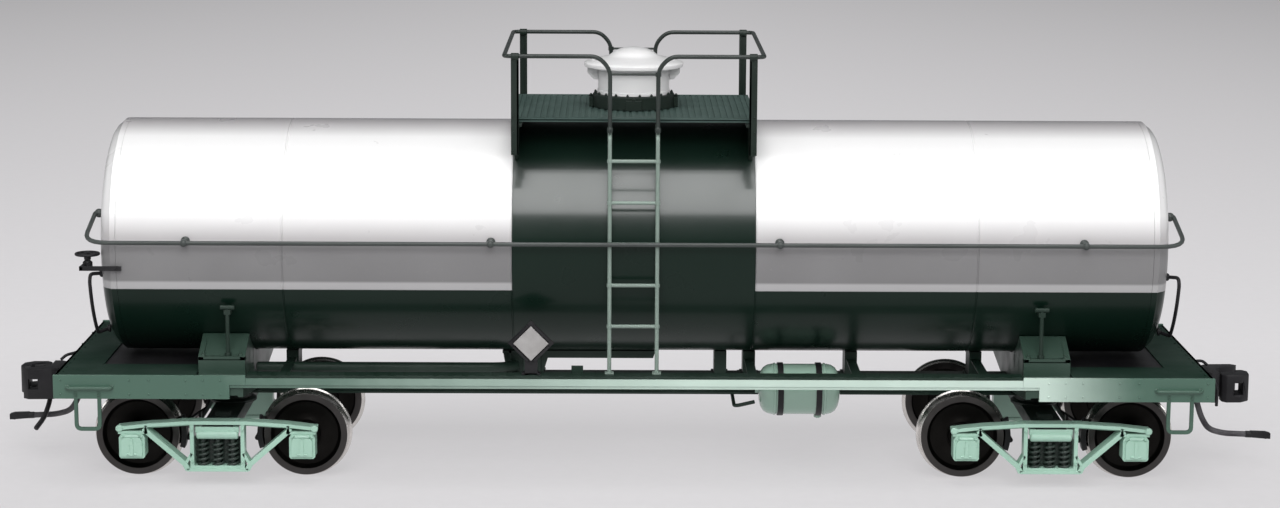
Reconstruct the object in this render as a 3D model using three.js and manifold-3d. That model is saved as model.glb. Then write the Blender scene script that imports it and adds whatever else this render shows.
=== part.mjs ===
// Model tank wagon, O scale (1:48): an insulated pressure tank on a separate underframe with two
// swivelling four-wheel trucks, knuckle couplers, a central dome with its platform, ladders and rails.
// Millimetres, +Z up, +X along the wagon. "near" is the -Y side, "far" the +Y side, "left" the -X end
// and "right" the +X end. The origin is under the middle of the wagon, at the bottom of the wheel flanges;
// every height below is measured from the rail head, and the group "onRails" lifts them by the flange depth.

import * as THREE from "three";
import { mergeVertices } from "three/addons/utils/BufferGeometryUtils.js";
import Module from "manifold-3d";

const wasm = await Module();
wasm.setup();

// ---------------------------------------------------------------- driving dimensions
const flangeDepth = 0.65;
const treadRadius = 8.73;
const backToBack = 29.2;
const wheelWidth = 3.7;
const wheelBase = 34.93;
const truckX = 85.8;
const swivelPlateTop = 14.25;

const tankRadius = 24.45;
const tankWall = 0.7;
const tankAxisZ = 48.05;
const tankHalfLength = 110.4;
const barrelHalfLength = 105.8;
const tankSides = 40;

const bodyHalfLength = 118.5;
const bodyHalfWidth = 28.6;
const plate = 0.7;
const sillTop = 23.45;
const sillBottom = 20.8;
const sillEndBottom = 18.5;
const sillStepX = 82.6;
const deckTop = 23.2;
const centreSillTop = 17.8;
const centreSillBottom = 14.3;
const centreSillHalfWidth = 4;
const centreSillHalfLength = 102.2;
const draftBoxTop = 20.5;

const platformX = -0.4;
const platformHalfLength = 25;
const platformHalfWidth = 20.7;
const platformTop = 75.5;
const platformRailTop = 88.6;
const gateZ = 85;
const platformRailY = 25.5;
const ladderY = 25.8;
const ladderHalfWidth = 4.85;
const wire = 0.9;

const handrailZ = 50.5;
const handrailY = 26.9;

const couplerPivotX = 112;
const couplerZ = 17;
const rest = 0.05;

// ---------------------------------------------------------------- materials
function paint(name, color, roughness, metalness) {
  return new THREE.MeshStandardMaterial({ name, color, roughness, metalness });
}
const green = paint("green_gloss_paint", 0x2c4a3a, 0.3, 0.1);
const paleGreen = paint("truck_green_paint", 0x4d6e5c, 0.45, 0.1);
const white = paint("white_gloss_paint", 0xf1f1ef, 0.3, 0.0);
const railPaint = paint("rail_grey_green_paint", 0x4a5a52, 0.4, 0.2);
const black = paint("blackened_metal", 0x1d1c1f, 0.5, 0.5);
const nickel = paint("nickel_wheel", 0xb9b6b0, 0.25, 1.0);
const steel = paint("turned_axle", 0x8b8985, 0.35, 1.0);
const placardGrey = paint("placard_grey", 0x8f8d8c, 0.6, 0.1);
const hoseRubber = paint("air_hose_rubber", 0x35333a, 0.7, 0.0);

// ---------------------------------------------------------------- geometry helpers
function toSolid(geometry) {
  const bare = geometry.clone();
  bare.deleteAttribute("normal");
  bare.deleteAttribute("uv");
  const merged = mergeVertices(bare, 1e-4);
  return new wasm.Manifold(
    new wasm.Mesh({
      numProp: 3,
      vertProperties: merged.attributes.position.array,
      triVerts: new Uint32Array(merged.index.array),
    }),
  );
}

function toGeometry(solid) {
  const mesh = solid.getMesh();
  const geometry = new THREE.BufferGeometry();
  geometry.setAttribute("position", new THREE.BufferAttribute(mesh.vertProperties, 3));
  geometry.setIndex(new THREE.BufferAttribute(mesh.triVerts, 1));
  geometry.computeVertexNormals();
  return geometry;
}

function join(...geometries) {
  const solids = geometries.map(toSolid);
  return toGeometry(solids.reduce((sum, next) => sum.add(next)));
}

function cut(geometry, ...tools) {
  const start = toSolid(geometry);
  return toGeometry(tools.map(toSolid).reduce((left, tool) => left.subtract(tool), start));
}

// A box from its lowest to its highest corner.
function box(x0, x1, y0, y1, z0, z1) {
  const geometry = new THREE.BoxGeometry(x1 - x0, y1 - y0, z1 - z0);
  return geometry.translate((x0 + x1) / 2, (y0 + y1) / 2, (z0 + z1) / 2);
}

function outline(points) {
  return new THREE.Shape(points.map(([a, b]) => new THREE.Vector2(a, b)));
}

// Outlines are given as [x, z], [y, z] or [x, y] points and extruded along the remaining axis.
function plateXZ(points, y0, y1, holes = []) {
  const shape = outline(points);
  shape.holes = holes.map(outline);
  const geometry = new THREE.ExtrudeGeometry(shape, { depth: y1 - y0, bevelEnabled: false });
  return geometry.rotateX(Math.PI / 2).translate(0, y1, 0);
}

function plateYZ(points, x0, x1, holes = []) {
  const shape = outline(points);
  shape.holes = holes.map(outline);
  const geometry = new THREE.ExtrudeGeometry(shape, { depth: x1 - x0, bevelEnabled: false });
  return geometry.rotateX(Math.PI / 2).rotateZ(Math.PI / 2).translate(x0, 0, 0);
}

function plateXY(points, z0, z1) {
  const geometry = new THREE.ExtrudeGeometry(outline(points), { depth: z1 - z0, bevelEnabled: false });
  return geometry.translate(0, 0, z0);
}

// A profile of [radius, height] points turned about the Y axis; a profile off the axis closes on itself.
function turned(profile, sides) {
  const points = profile.map(([r, h]) => new THREE.Vector2(r, h));
  const closed = points[0].x > 0;
  const ring = closed ? [...points, points[0].clone()] : points;
  const area = ring.reduce((sum, p, i) => {
    const q = ring[(i + 1) % ring.length];
    return sum + p.x * q.y - q.x * p.y;
  }, 0);
  if (area < 0) ring.reverse();
  return new THREE.LatheGeometry(ring, sides);
}

function turnedX(profile, sides) {
  return turned(profile, sides).rotateZ(-Math.PI / 2);
}

function turnedZ(profile, sides) {
  return turned(profile, sides).rotateX(Math.PI / 2);
}

// Stations along a bent wire: straight runs between corners that are rounded to a bend radius.
class BentWire extends THREE.Curve {
  constructor(corners, bend) {
    super();
    const points = corners.map((p) => new THREE.Vector3(...p));
    this.stations = [points[0]];
    for (let i = 1; i < points.length - 1; i++) {
      const before = points[i - 1].clone().sub(points[i]);
      const after = points[i + 1].clone().sub(points[i]);
      const reach = Math.min(bend, before.length() / 2.2, after.length() / 2.2);
      const start = points[i].clone().addScaledVector(before.normalize(), reach);
      const end = points[i].clone().addScaledVector(after.normalize(), reach);
      const middle = new THREE.QuadraticBezierCurve3(start, points[i], end).getPoint(0.5);
      this.stations.push(start, middle, end);
    }
    this.stations.push(points[points.length - 1]);
    this.steps = this.stations.length - 1;
  }

  getPointAt(u) {
    return this.stations[Math.round(u * this.steps)].clone();
  }

  getTangentAt(u) {
    const i = Math.round(u * this.steps);
    const ahead = this.stations[Math.min(i + 1, this.steps)];
    const behind = this.stations[Math.max(i - 1, 0)];
    return ahead.clone().sub(behind).normalize();
  }
}

function bentWire(corners, diameter, bend, sides = 6) {
  const path = new BentWire(corners, bend);
  const section = Array.from({ length: sides }, (_, k) => {
    const angle = (2 * Math.PI * (k + 0.5)) / sides;
    return [(Math.cos(angle) * diameter) / 2, (Math.sin(angle) * diameter) / 2];
  });
  return new THREE.ExtrudeGeometry(outline(section), {
    steps: path.steps,
    extrudePath: path,
    bevelEnabled: false,
  });
}

// The part of a circle about the tank axis between two angles from straight down, as [y, z] points.
function tankArc(radius, fromDegrees, toDegrees, count) {
  return Array.from({ length: count + 1 }, (_, k) => {
    const angle = THREE.MathUtils.degToRad(fromDegrees + ((toDegrees - fromDegrees) * k) / count);
    return [radius * Math.sin(angle), tankAxisZ - radius * Math.cos(angle)];
  });
}

function addMesh(parent, name, geometry, material) {
  const mesh = new THREE.Mesh(geometry, material);
  mesh.name = name;
  parent.add(mesh);
  return mesh;
}

function turnedAbout(parent) {
  const group = new THREE.Group();
  group.rotation.z = Math.PI;
  parent.add(group);
  return group;
}

const wagon = new THREE.Group();
const onRails = new THREE.Group();
onRails.position.z = flangeDepth;
wagon.add(onRails);
const farSide = turnedAbout(onRails);
// Everything at an end or on a side is drawn once, for +X or -Y, and turned half a turn for its twin.
const ends = { right: onRails, left: farSide };
const sides = { near: onRails, far: farSide };

// ---------------------------------------------------------------- tank
function tankBarrel() {
  const inner = tankRadius - tankWall;
  const profile = [
    [inner, -barrelHalfLength],
    [tankRadius, -barrelHalfLength],
    [tankRadius, barrelHalfLength],
    [inner, barrelHalfLength],
  ];
  return turnedX(profile, tankSides).translate(0, 0, tankAxisZ);
}

// A flat-dished head with a small rounded rim, open towards the barrel.
function tankHead() {
  const start = barrelHalfLength + rest;
  const profile = [
    [tankRadius, start],
    [tankRadius, start + 1.2],
    [tankRadius - 0.6, start + 2.5],
    [tankRadius - 2.1, start + 3.3],
    [tankRadius * 0.7, start + 3.9],
    [tankRadius * 0.35, tankHalfLength - 0.1],
    [0, tankHalfLength],
    [0, tankHalfLength - tankWall],
    [tankRadius * 0.68, start + 3.2],
    [tankRadius - 2.6, start + 2.5],
    [tankRadius - tankWall, start + 1.0],
    [tankRadius - tankWall, start],
  ];
  return turnedX(profile, tankSides).translate(0, 0, tankAxisZ);
}

addMesh(onRails, "tank_barrel", tankBarrel(), green);
for (const [end, parent] of Object.entries(ends)) {
  addMesh(parent, `tank_head_${end}`, tankHead(), green);
}

// ---------------------------------------------------------------- underframe
// A flat box tube with blocks that carry the tank; arms reach out from the blocks to the side sills,
// above the wheels.
function centreSill() {
  const w = centreSillHalfWidth;
  const bore = w - 0.8;
  const tube = plateYZ(
    [[-w, centreSillBottom], [w, centreSillBottom], [w, centreSillTop], [-w, centreSillTop]],
    -centreSillHalfLength,
    centreSillHalfLength,
    [[
      [-bore, centreSillBottom + 0.8],
      [bore, centreSillBottom + 0.8],
      [bore, centreSillTop - 0.8],
      [-bore, centreSillTop - 0.8],
    ]],
  );
  const blockTop = tankAxisZ - tankRadius - rest;
  const blocks = [-72.6, 18.3, 24.4, 46.1, 72.6].map((x) =>
    box(x - 1.3, x + 1.3, -3.2, 3.2, centreSillTop - 0.2, blockTop),
  );
  const reach = bodyHalfWidth - plate - rest;
  const arms = [-72.6, 24.4, 46.1, 72.6].flatMap((x) => [
    box(x - 1, x + 1, 3, reach, 20.9, 21.9),
    box(x - 1, x + 1, -reach, -3, 20.9, 21.9),
  ]);
  return join(tube, ...blocks, ...arms);
}

// The near side sill: a flat bar with deep ends, the narrow running board, two stirrup steps and
// two grab irons that are soldered to it.
function sideSill() {
  const face = -bodyHalfWidth;
  const back = face + plate;
  const bar = plateXZ(
    [
      [-bodyHalfLength, sillEndBottom],
      [-sillStepX, sillEndBottom],
      [-sillStepX, sillBottom],
      [sillStepX, sillBottom],
      [sillStepX, sillEndBottom],
      [bodyHalfLength, sillEndBottom],
      [bodyHalfLength, sillTop],
      [-bodyHalfLength, sillTop],
    ],
    face,
    back,
  );
  const board = box(-79.3, 79.3, back - 0.1, -24.6, sillTop - 0.55, sillTop);
  const pieces = [bar, board];
  for (const side of [-1, 1]) {
    pieces.push(stirrupStep(side, face));
    const irons = bentWire(
      [
        [side * 106.6, back - 0.2, 20.9],
        [side * 106.6, face - 1, 20.9],
        [side * 115.6, face - 1, 20.9],
        [side * 115.6, back - 0.2, 20.9],
      ],
      0.7,
      0.5,
    );
    pieces.push(irons);
  }
  return join(...pieces);
}

function stirrupStep(side, face) {
  const inner = 108.8;
  const outer = 114.3;
  const bottom = 11.8;
  const strip = 0.75;
  const points = [
    [inner, sillEndBottom + 0.4],
    [inner, bottom + 1],
    [inner + 1, bottom],
    [outer - 1, bottom],
    [outer, bottom + 1],
    [outer, sillEndBottom + 0.4],
    [outer - strip, sillEndBottom + 0.4],
    [outer - strip, bottom + 1 + strip / 2],
    [outer - 1 - strip / 2, bottom + strip],
    [inner + 1 + strip / 2, bottom + strip],
    [inner + strip, bottom + 1 + strip / 2],
    [inner + strip, sillEndBottom + 0.4],
  ];
  const mirrored = side > 0 ? points : points.map(([x, z]) => [-x, z]).reverse();
  return plateXZ(mirrored, face + 0.05, face + 0.65);
}

// End deck and end sill, folded from one sheet, with a notch for the draft box.
function endPlatform() {
  const halfWidth = bodyHalfWidth - plate - rest;
  const deck = box(89.75, bodyHalfLength, -halfWidth, halfWidth, deckTop - 0.6, deckTop);
  const sill = plateYZ(
    [
      [-halfWidth, sillEndBottom],
      [-4.6, sillEndBottom],
      [-4.6, draftBoxTop + 0.3],
      [4.6, draftBoxTop + 0.3],
      [4.6, sillEndBottom],
      [halfWidth, sillEndBottom],
      [halfWidth, deckTop],
      [-halfWidth, deckTop],
    ],
    bodyHalfLength - plate,
    bodyHalfLength,
  );
  return join(deck, sill);
}

// Body bolster with the saddle that the tank lies in; it straddles the centre sill.
function bolster() {
  const halfWidth = bodyHalfWidth - plate - rest;
  const inner = centreSillHalfWidth + rest;
  const arc = tankArc(tankRadius + rest + 0.1, 42, -42, 12);
  return plateYZ(
    [
      [-halfWidth, 18.8],
      [-inner, 15.4],
      [-inner, centreSillTop + rest],
      [inner, centreSillTop + rest],
      [inner, 15.4],
      [halfWidth, 18.8],
      [halfWidth, 22.7],
      [24, 22.7],
      [24, 26.4],
      ...arc,
      [-24, 26.4],
      [-24, 22.7],
      [-halfWidth, 22.7],
    ],
    79.9,
    89.5,
  );
}

// The centre anchor hangs under the tank and stands on the centre sill with one foot.
function tankAnchor() {
  const top = tankAxisZ - tankRadius - rest;
  return plateXZ(
    [
      [-27, centreSillTop + rest],
      [-19.6, centreSillTop + rest],
      [-18.4, 21.8],
      [4, 21.8],
      [4.6, top],
      [-28, top],
    ],
    -3.4,
    3.4,
  );
}

addMesh(onRails, "centre_sill", centreSill(), green);
addMesh(onRails, "tank_anchor", tankAnchor(), green);
for (const [side, parent] of Object.entries(sides)) {
  addMesh(parent, `side_sill_${side}`, sideSill(), paleGreen);
}
for (const [end, parent] of Object.entries(ends)) {
  addMesh(parent, `end_platform_${end}`, endPlatform(), green);
  addMesh(parent, `bolster_${end}`, bolster(), paleGreen);
}

// ---------------------------------------------------------------- brake gear
const reservoir = { x0: 25.9, x1: 43.1, y: -12.2, z: 17.4, radius: 5.3 };

function airReservoir() {
  const half = (reservoir.x1 - reservoir.x0) / 2;
  const r = reservoir.radius;
  const tank = turnedX(
    [
      [0, -half],
      [r * 0.6, -half + 0.5],
      [r, -half + 2.4],
      [r, -0.5],
      [r + 0.5, -0.5],
      [r + 0.5, 0.5],
      [r, 0.5],
      [r, half - 2.4],
      [r * 0.6, half - 0.5],
      [0, half],
    ],
    20,
  ).translate((reservoir.x0 + reservoir.x1) / 2, reservoir.y, reservoir.z);
  const lug = box(33, 36, reservoir.y + 4, -centreSillHalfWidth - rest, 16.4, 18.4);
  return join(tank, lug);
}

function brakeCylinder() {
  const barrel = turnedX(
    [[0, -43], [1.7, -43], [2, -42.2], [2, -30], [2.3, -30], [2.3, -29], [0, -29]],
    16,
  );
  const rod = turnedX([[0, -29.5], [0.6, -29.5], [0.6, -18], [0, -18]], 8);
  const lever = box(-19.2, -17.8, -6.5, 3.5, -0.5, 0.5);
  const foot = box(-40, -37, -centreSillHalfWidth - rest, -1, 0.9, 1.7);
  return join(barrel, rod, lever, foot).translate(0, 11, 13.7);
}

function controlValve() {
  const body = box(22.6, 27.2, 9.5, 14.5, 11.6, 15.6);
  const cap = turnedX([[0, 20], [1.5, 20], [1.5, 30], [0, 30]], 12).translate(0, 12, 13.6);
  const bracket = box(24, 26, centreSillHalfWidth + rest, 10, 14.5, 15.4);
  return join(body, cap, bracket);
}

addMesh(onRails, "air_reservoir", airReservoir(), green);
addMesh(onRails, "brake_cylinder", brakeCylinder(), green);
addMesh(onRails, "control_valve", controlValve(), black);

// The hand brake wheel lies flat above its bracket at the left end, near side.
const brakeWheelX = -112.2;

function brakeWheel() {
  const wheel = turnedZ([[0, -0.4], [2.6, -0.4], [2.6, 0.4], [0, 0.4]], 16);
  const hub = turnedZ([[0, -1.2], [0.7, -1.2], [0.7, -0.3], [0, -0.3]], 8);
  return join(wheel, hub).translate(brakeWheelX, -20.6, 47.1);
}

function brakeBracket() {
  const top = 45.8;
  const post = turnedZ([[0, 44.4], [1, 44.4], [1, top], [0, top]], 8);
  const arm = box(brakeWheelX - 0.3, -104.6, -25.6, -24.7, 44.4, 45.3);
  const cross = box(brakeWheelX - 0.4, brakeWheelX + 0.4, -25.4, -20.4, 44.4, 45.3);
  return join(post.translate(brakeWheelX, -20.6, 0), arm, cross);
}

addMesh(onRails, "brake_wheel", brakeWheel(), black);
addMesh(onRails, "brake_bracket", brakeBracket(), black);

// ---------------------------------------------------------------- rails, grab irons, placards
// Side handrail: along the tank on four stanchions, round both corners and back to the heads.
function handrail() {
  const y = -handrailY;
  const cornerX = 111.8;
  const endFoot = [tankHalfLength - 0.35, -12.5, 54.4];
  const half = (side) => [
    [side * endFoot[0], endFoot[1], endFoot[2]],
    [side * cornerX, endFoot[1], endFoot[2]],
    [side * cornerX, y, handrailZ],
  ];
  const path = [...half(-1), ...half(1).reverse()];
  const pieces = [bentWire(path, 1, 5, 6)];
  const standOff = Math.sqrt(tankRadius ** 2 - (handrailZ - tankAxisZ) ** 2) + rest + 0.05;
  for (const x of [-91.5, -29.4, 29.4, 91.5]) {
    pieces.push(box(x - 0.45, x + 0.45, y - 0.6, -standOff, handrailZ - 0.6, handrailZ + 0.6));
  }
  return join(...pieces);
}

// A corner grab iron that follows the rim of the tank head a few millimetres in front of it.
function grabIron(side) {
  const rimX = 111.4;
  const path = tankArc(tankRadius - 0.4, -78, -40, 3).map(([y, z]) => [side * rimX, y, z]);
  const [, firstY, firstZ] = path[0];
  const [, lastY, lastZ] = path[path.length - 1];
  const foot = barrelHalfLength + 3.7;
  return bentWire(
    [
      [side * foot, firstY + 3.2, firstZ],
      [side * rimX, firstY + 1.2, firstZ + 0.2],
      ...path.slice(1),
      [side * (foot + 0.1), lastY + 2.6, lastZ + 0.4],
    ],
    0.8,
    1.4,
  );
}

// A blank diamond placard board on its bracket, standing on the side sill.
function placard() {
  const x = -21.2;
  const z = 30.1;
  const diamond = (half) => [[x, z - half], [x + half, z], [x, z + half], [x - half, z]];
  const board = plateXZ(diamond(3.8), -27.7, -27.1);
  const back = plateXZ(diamond(4.7), -27.2, -26.6);
  const stalk = box(x - 1.3, x + 1.3, -27.2, -26.6, sillTop + rest, z);
  return join(board, back, stalk);
}

for (const [side, parent] of Object.entries(sides)) {
  addMesh(parent, `handrail_${side}`, handrail(), railPaint);
  addMesh(parent, `placard_${side}`, placard(), placardGrey);
}
addMesh(onRails, "grab_iron_near_left", grabIron(-1), black);
addMesh(onRails, "grab_iron_near_right", grabIron(1), black);
addMesh(farSide, "grab_iron_far_right", grabIron(-1), black);
addMesh(farSide, "grab_iron_far_left", grabIron(1), black);

// ---------------------------------------------------------------- platform, ladders and dome
const superstructure = new THREE.Group();
superstructure.position.x = platformX;
onRails.add(superstructure);
const superstructureTurned = turnedAbout(superstructure);
const topSides = { near: superstructure, far: superstructureTurned };
const topEnds = { right: superstructure, left: superstructureTurned };

const postX = platformHalfLength - 1;

function platformDeck() {
  const x = platformHalfLength;
  const y = platformHalfWidth;
  return box(-x, x, -y, y, platformTop - 0.8, platformTop);
}

// A cross plate shaped to the tank, with a post at each corner that rises to the railing.
function platformSupport() {
  const under = platformTop - 0.8 - rest;
  const arc = tankArc(tankRadius + rest + 0.1, 180 - 42, 180 + 42, 8);
  const web = plateYZ(
    [
      [-24.9, under],
      [-24.9, 68.6],
      [-24.0, 68.6],
      [-19.2, 70.2],
      ...arc.reverse(),
      [19.2, 70.2],
      [24.0, 68.6],
      [24.9, 68.6],
      [24.9, under],
    ],
    postX - 0.4,
    postX + 0.4,
  );
  const pieces = [web];
  for (const side of [-1, 1]) {
    const y0 = side > 0 ? 24.7 : -25.95;
    pieces.push(box(postX - 0.8, postX + 0.8, y0, y0 + 1.25, 68.6, platformTop - 1.2));
    const upper = side > 0 ? 25.1 : -25.95;
    pieces.push(box(postX - 0.8, postX + 0.8, upper, upper + 0.85, platformTop - 1.4, 87.9));
  }
  return join(...pieces);
}

// Half of the railing: a wire, C-shaped in plan, whose ends drop beside the ladders. A thin bar runs
// from its near end across the top of the ladder to the other half.
function platformRail() {
  const foot = ladderHalfWidth;
  const corner = platformHalfLength + 1.2;
  const top = platformRailTop;
  const y = platformRailY;
  const low = platformTop - 2.3;
  const gate = bentWire([[foot, -y, gateZ], [wire / 2 + rest - foot, -y, gateZ]], 0.5, 1);
  const rail = bentWire(
    [
      [foot, -y, low],
      [foot, -y, top - 2.6],
      [foot + 2.4, -y, top],
      [corner, -y, top],
      [corner, y, top],
      [foot + 2.4, y, top],
      [foot, y, top - 2.6],
      [foot, y, low],
    ],
    wire,
    1.6,
  );
  return join(rail, gate);
}

// The stiles stand on the side sill and lean in to the edge of the deck at the top.
function ladder() {
  const pieces = [-1, 1].map((side) =>
    bentWire([
      [side * ladderHalfWidth, -ladderY, sillTop + rest],
      [side * ladderHalfWidth, -ladderY, platformTop - 3.3],
      [side * ladderHalfWidth, -platformHalfWidth - 0.6, platformTop - 1.3],
    ], wire, 1),
  );
  for (let rung = 0; rung < 5; rung++) {
    const z = 33.4 + 8.5 * rung;
    pieces.push(
      bentWire([[-ladderHalfWidth, -ladderY, z], [ladderHalfWidth, -ladderY, z]], 0.8, 1),
    );
  }
  return join(...pieces);
}

const domeBottom = platformTop + rest;
function domeBase() {
  const flange = turnedZ([[0, domeBottom], [8.6, domeBottom], [8.6, 78.3], [0, 78.3]], 24);
  const lugs = box(-9.3, 9.3, -1.6, 1.6, domeBottom, 77.6);
  const crossLugs = box(-1.6, 1.6, -9.3, 9.3, domeBottom, 77.6);
  return join(flange, lugs, crossLugs);
}

function domeHousing() {
  const low = 78.3 + rest;
  return turnedZ([[7.7, low], [7.7, 83.8], [6.9, 83.8], [6.9, low]], 24);
}

function domeLid() {
  const low = 83.8 + rest;
  return turnedZ(
    [[0, low], [10.4, low], [10.4, 84.9], [8.6, 85.4], [5.5, 86.1], [4, 87.1], [2, 87.8], [0, 88]],
    24,
  );
}

addMesh(superstructure, "platform_deck", platformDeck(), railPaint);
addMesh(superstructure, "dome_base", domeBase(), green);
addMesh(superstructure, "dome_housing", domeHousing(), white);
addMesh(superstructure, "dome_lid", domeLid(), white);
for (const [side, parent] of Object.entries(topSides)) {
  addMesh(parent, `ladder_${side}`, ladder(), railPaint);
}
for (const [end, parent] of Object.entries(topEnds)) {
  addMesh(parent, `platform_support_${end}`, platformSupport(), green);
  addMesh(parent, `platform_rail_${end}`, platformRail(), railPaint);
}

// ---------------------------------------------------------------- couplers and hoses
function draftBox() {
  const outer = box(102.4, 120.4, -4.2, 4.2, centreSillBottom, draftBoxTop);
  const pocket = box(109.4, 121, -3.4, 3.4, 15.5, 18.5);
  return cut(outer, pocket);
}

const linkSlot = box(127.6, 129.6, -8, 8, 14.7, 17.3);
const guardSlot = box(126.6, 128.6, 0, 8, 15, 17.2);

function couplerHead(withTripPin) {
  const shank = plateXY(
    [[couplerPivotX, -1.2], [122, -1.2], [122, 1.2], [couplerPivotX, 1.2]],
    couplerZ - 1.2,
    couplerZ + 1.2,
  );
  const eye = turnedZ([[0, -1.2], [2, -1.2], [2, 1.2], [0, 1.2]], 16);
  eye.translate(couplerPivotX, 0, couplerZ);
  const head = plateXY(
    [
      [121.2, -3],
      [123, -4.4],
      [124.5, -4.4],
      [124.5, -0.6],
      [125.6, 1.4],
      [128.6, 2.6],
      [129.8, 3.8],
      [128.6, 4.8],
      [123.6, 4.6],
      [121.2, 3],
    ],
    12.9,
    19.4,
  );
  const pieces = [shank, eye, head];
  if (withTripPin) {
    pieces.push(
      bentWire([[124.6, 0.8, 13.4], [124.9, 1.2, 11.5], [125.7, 3, 8.6], [127, 6, 6.8]], 1.1, 1.2),
    );
  }
  return cut(join(...pieces), guardSlot);
}

function knuckle() {
  const jaw = plateXY(
    [
      [125, -2.4],
      [125.1, -4.4],
      [126, -5.3],
      [129.2, -5.2],
      [131, -3.6],
      [131.2, -0.9],
      [130.2, 0.5],
      [128.7, 0.3],
      [128.4, -1.6],
      [126.6, -1.5],
    ],
    13.1,
    19.1,
  );
  return cut(jaw, linkSlot);
}

// The stiff air hose hangs from the end sill and points outwards.
function airHose() {
  return bentWire(
    [
      [118, -7, sillEndBottom - 0.1],
      [118.8, -7, 15.4],
      [120.4, -7, 10.4],
      [122, -7, 7.8],
      [125.2, -7, 6.7],
      [135.2, -7, 6.5],
    ],
    1.4,
    1.6,
    8,
  );
}

for (const [end, parent] of Object.entries(ends)) {
  addMesh(parent, `draft_box_${end}`, draftBox(), green);
  addMesh(parent, `coupler_${end}`, couplerHead(end === "left"), black);
  addMesh(parent, `knuckle_${end}`, knuckle(), black);
  addMesh(parent, `air_hose_${end}`, airHose(), hoseRubber);
}

// ---------------------------------------------------------------- trucks
const axleZ = treadRadius;
const axleRadius = 1.55;
const journalX = wheelBase / 2;

// The far side frame of a truck, in the truck's own frame: truss outline, bolster window, journal boxes.
function sideFrame() {
  const right = [
    [6.2, 2.5],
    [7.2, 3.8],
    [15.1, 10.4],
    [20.3, 10.4],
    [20.9, 11.2],
    [20.5, 12.3],
    [14, 12.8],
    [6, 13.3],
  ];
  const mirror = (points) => points.map(([x, z]) => [-x, z]).reverse();
  const brace = [[5.7, 5], [13.4, 11.5], [5.7, 12.1]];
  const window = [[-3.5, 9.2], [3.5, 9.2], [3.5, 12.5], [-3.5, 12.5]];
  const truss = plateXZ([...right, ...mirror(right)], 22.2, 25.4, [brace, mirror(brace), window]);
  const pieces = [truss];
  const bores = [];
  for (const side of [-1, 1]) {
    const x = side * journalX;
    pieces.push(box(x - 2.65, x + 2.65, 20.4, 26.4, 5.3, 11));
    const bore = turned([[0, 20], [0.95, 20], [0.95, 23], [0, 23]], 12).translate(x, 0, axleZ);
    bores.push(bore);
  }
  return cut(join(...pieces), ...bores);
}

function truckBolster() {
  const beam = box(-3.2, 3.2, -25, 25, 9.5, 12.2);
  const plateRing = turnedZ([[0, 12], [4.2, 12], [4.2, swivelPlateTop], [0, swivelPlateTop]], 20);
  return join(beam, plateRing);
}

function axle() {
  const shoulder = 18.9;
  return turned(
    [
      [0, -22.6],
      [0.9, -21.8],
      [0.9, -shoulder],
      [axleRadius, -shoulder],
      [axleRadius, shoulder],
      [0.9, shoulder],
      [0.9, 21.8],
      [0, 22.6],
    ],
    16,
  );
}

// The far wheel: flange inside, slightly coned tread, dished plate and hub.
function wheel() {
  const back = backToBack / 2;
  const front = back + wheelWidth;
  const bore = axleRadius + 0.03;
  return turned(
    [
      [bore, back],
      [7.4, back],
      [8.9, back],
      [treadRadius + flangeDepth, back + 0.5],
      [treadRadius + 0.1, back + 1.1],
      [treadRadius - 0.05, front],
      [7.3, front],
      [6.9, front - 1.3],
      [3.2, front - 1.1],
      [2.9, front],
      [bore, front],
    ],
    16,
  );
}

for (const [end, sign] of [["left", -1], ["right", 1]]) {
  const truck = new THREE.Group();
  truck.position.x = sign * truckX;
  onRails.add(truck);
  const truckTurned = turnedAbout(truck);
  const truckSides = { near: truckTurned, far: truck };
  addMesh(truck, `truck_bolster_${end}`, truckBolster(), paleGreen);
  for (const [side, parent] of Object.entries(truckSides)) {
    addMesh(parent, `side_frame_${end}_${side}`, sideFrame(), paleGreen);
  }
  for (const [place, direction] of [["inner", -sign], ["outer", sign]]) {
    const wheelset = new THREE.Group();
    wheelset.position.set(direction * journalX, 0, axleZ);
    truck.add(wheelset);
    const wheelsetTurned = turnedAbout(wheelset);
    addMesh(wheelset, `axle_${end}_${place}`, axle(), steel);
    addMesh(wheelset, `wheel_${end}_${place}_far`, wheel(), nickel);
    addMesh(wheelsetTurned, `wheel_${end}_${place}_near`, wheel(), nickel);
  }
}

export default wagon;
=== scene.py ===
"""Looks of a model tank wagon: paint, plating, rivets, springs, rails and fittings around its CAD frame.

Lengths are millimetres above the rail head until a piece is finished, then metres in the row frame.
near is the -Y side, far the +Y side, left the -X end and right the +X end.
"""

import math

import bmesh
import bpy
from mathutils import Matrix, Vector
from mathutils.geometry import tessellate_polygon


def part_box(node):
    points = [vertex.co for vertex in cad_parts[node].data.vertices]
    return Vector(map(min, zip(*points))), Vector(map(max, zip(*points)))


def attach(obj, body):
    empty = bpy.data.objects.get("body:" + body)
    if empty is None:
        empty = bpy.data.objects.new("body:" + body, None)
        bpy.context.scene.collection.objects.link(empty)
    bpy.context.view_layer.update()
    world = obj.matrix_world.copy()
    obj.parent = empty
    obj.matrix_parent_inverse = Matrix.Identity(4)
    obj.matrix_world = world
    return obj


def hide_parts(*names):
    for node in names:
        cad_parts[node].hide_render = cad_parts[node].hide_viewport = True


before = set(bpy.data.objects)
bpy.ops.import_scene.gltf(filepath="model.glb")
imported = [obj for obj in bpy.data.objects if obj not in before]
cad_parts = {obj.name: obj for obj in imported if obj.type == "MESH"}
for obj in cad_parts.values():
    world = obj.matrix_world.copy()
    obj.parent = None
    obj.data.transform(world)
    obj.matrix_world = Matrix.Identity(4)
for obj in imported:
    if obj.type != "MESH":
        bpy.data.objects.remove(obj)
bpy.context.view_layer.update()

MM = 0.001
FLANGE_DEPTH = 0.65
BODY = "wagon_body"


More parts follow.
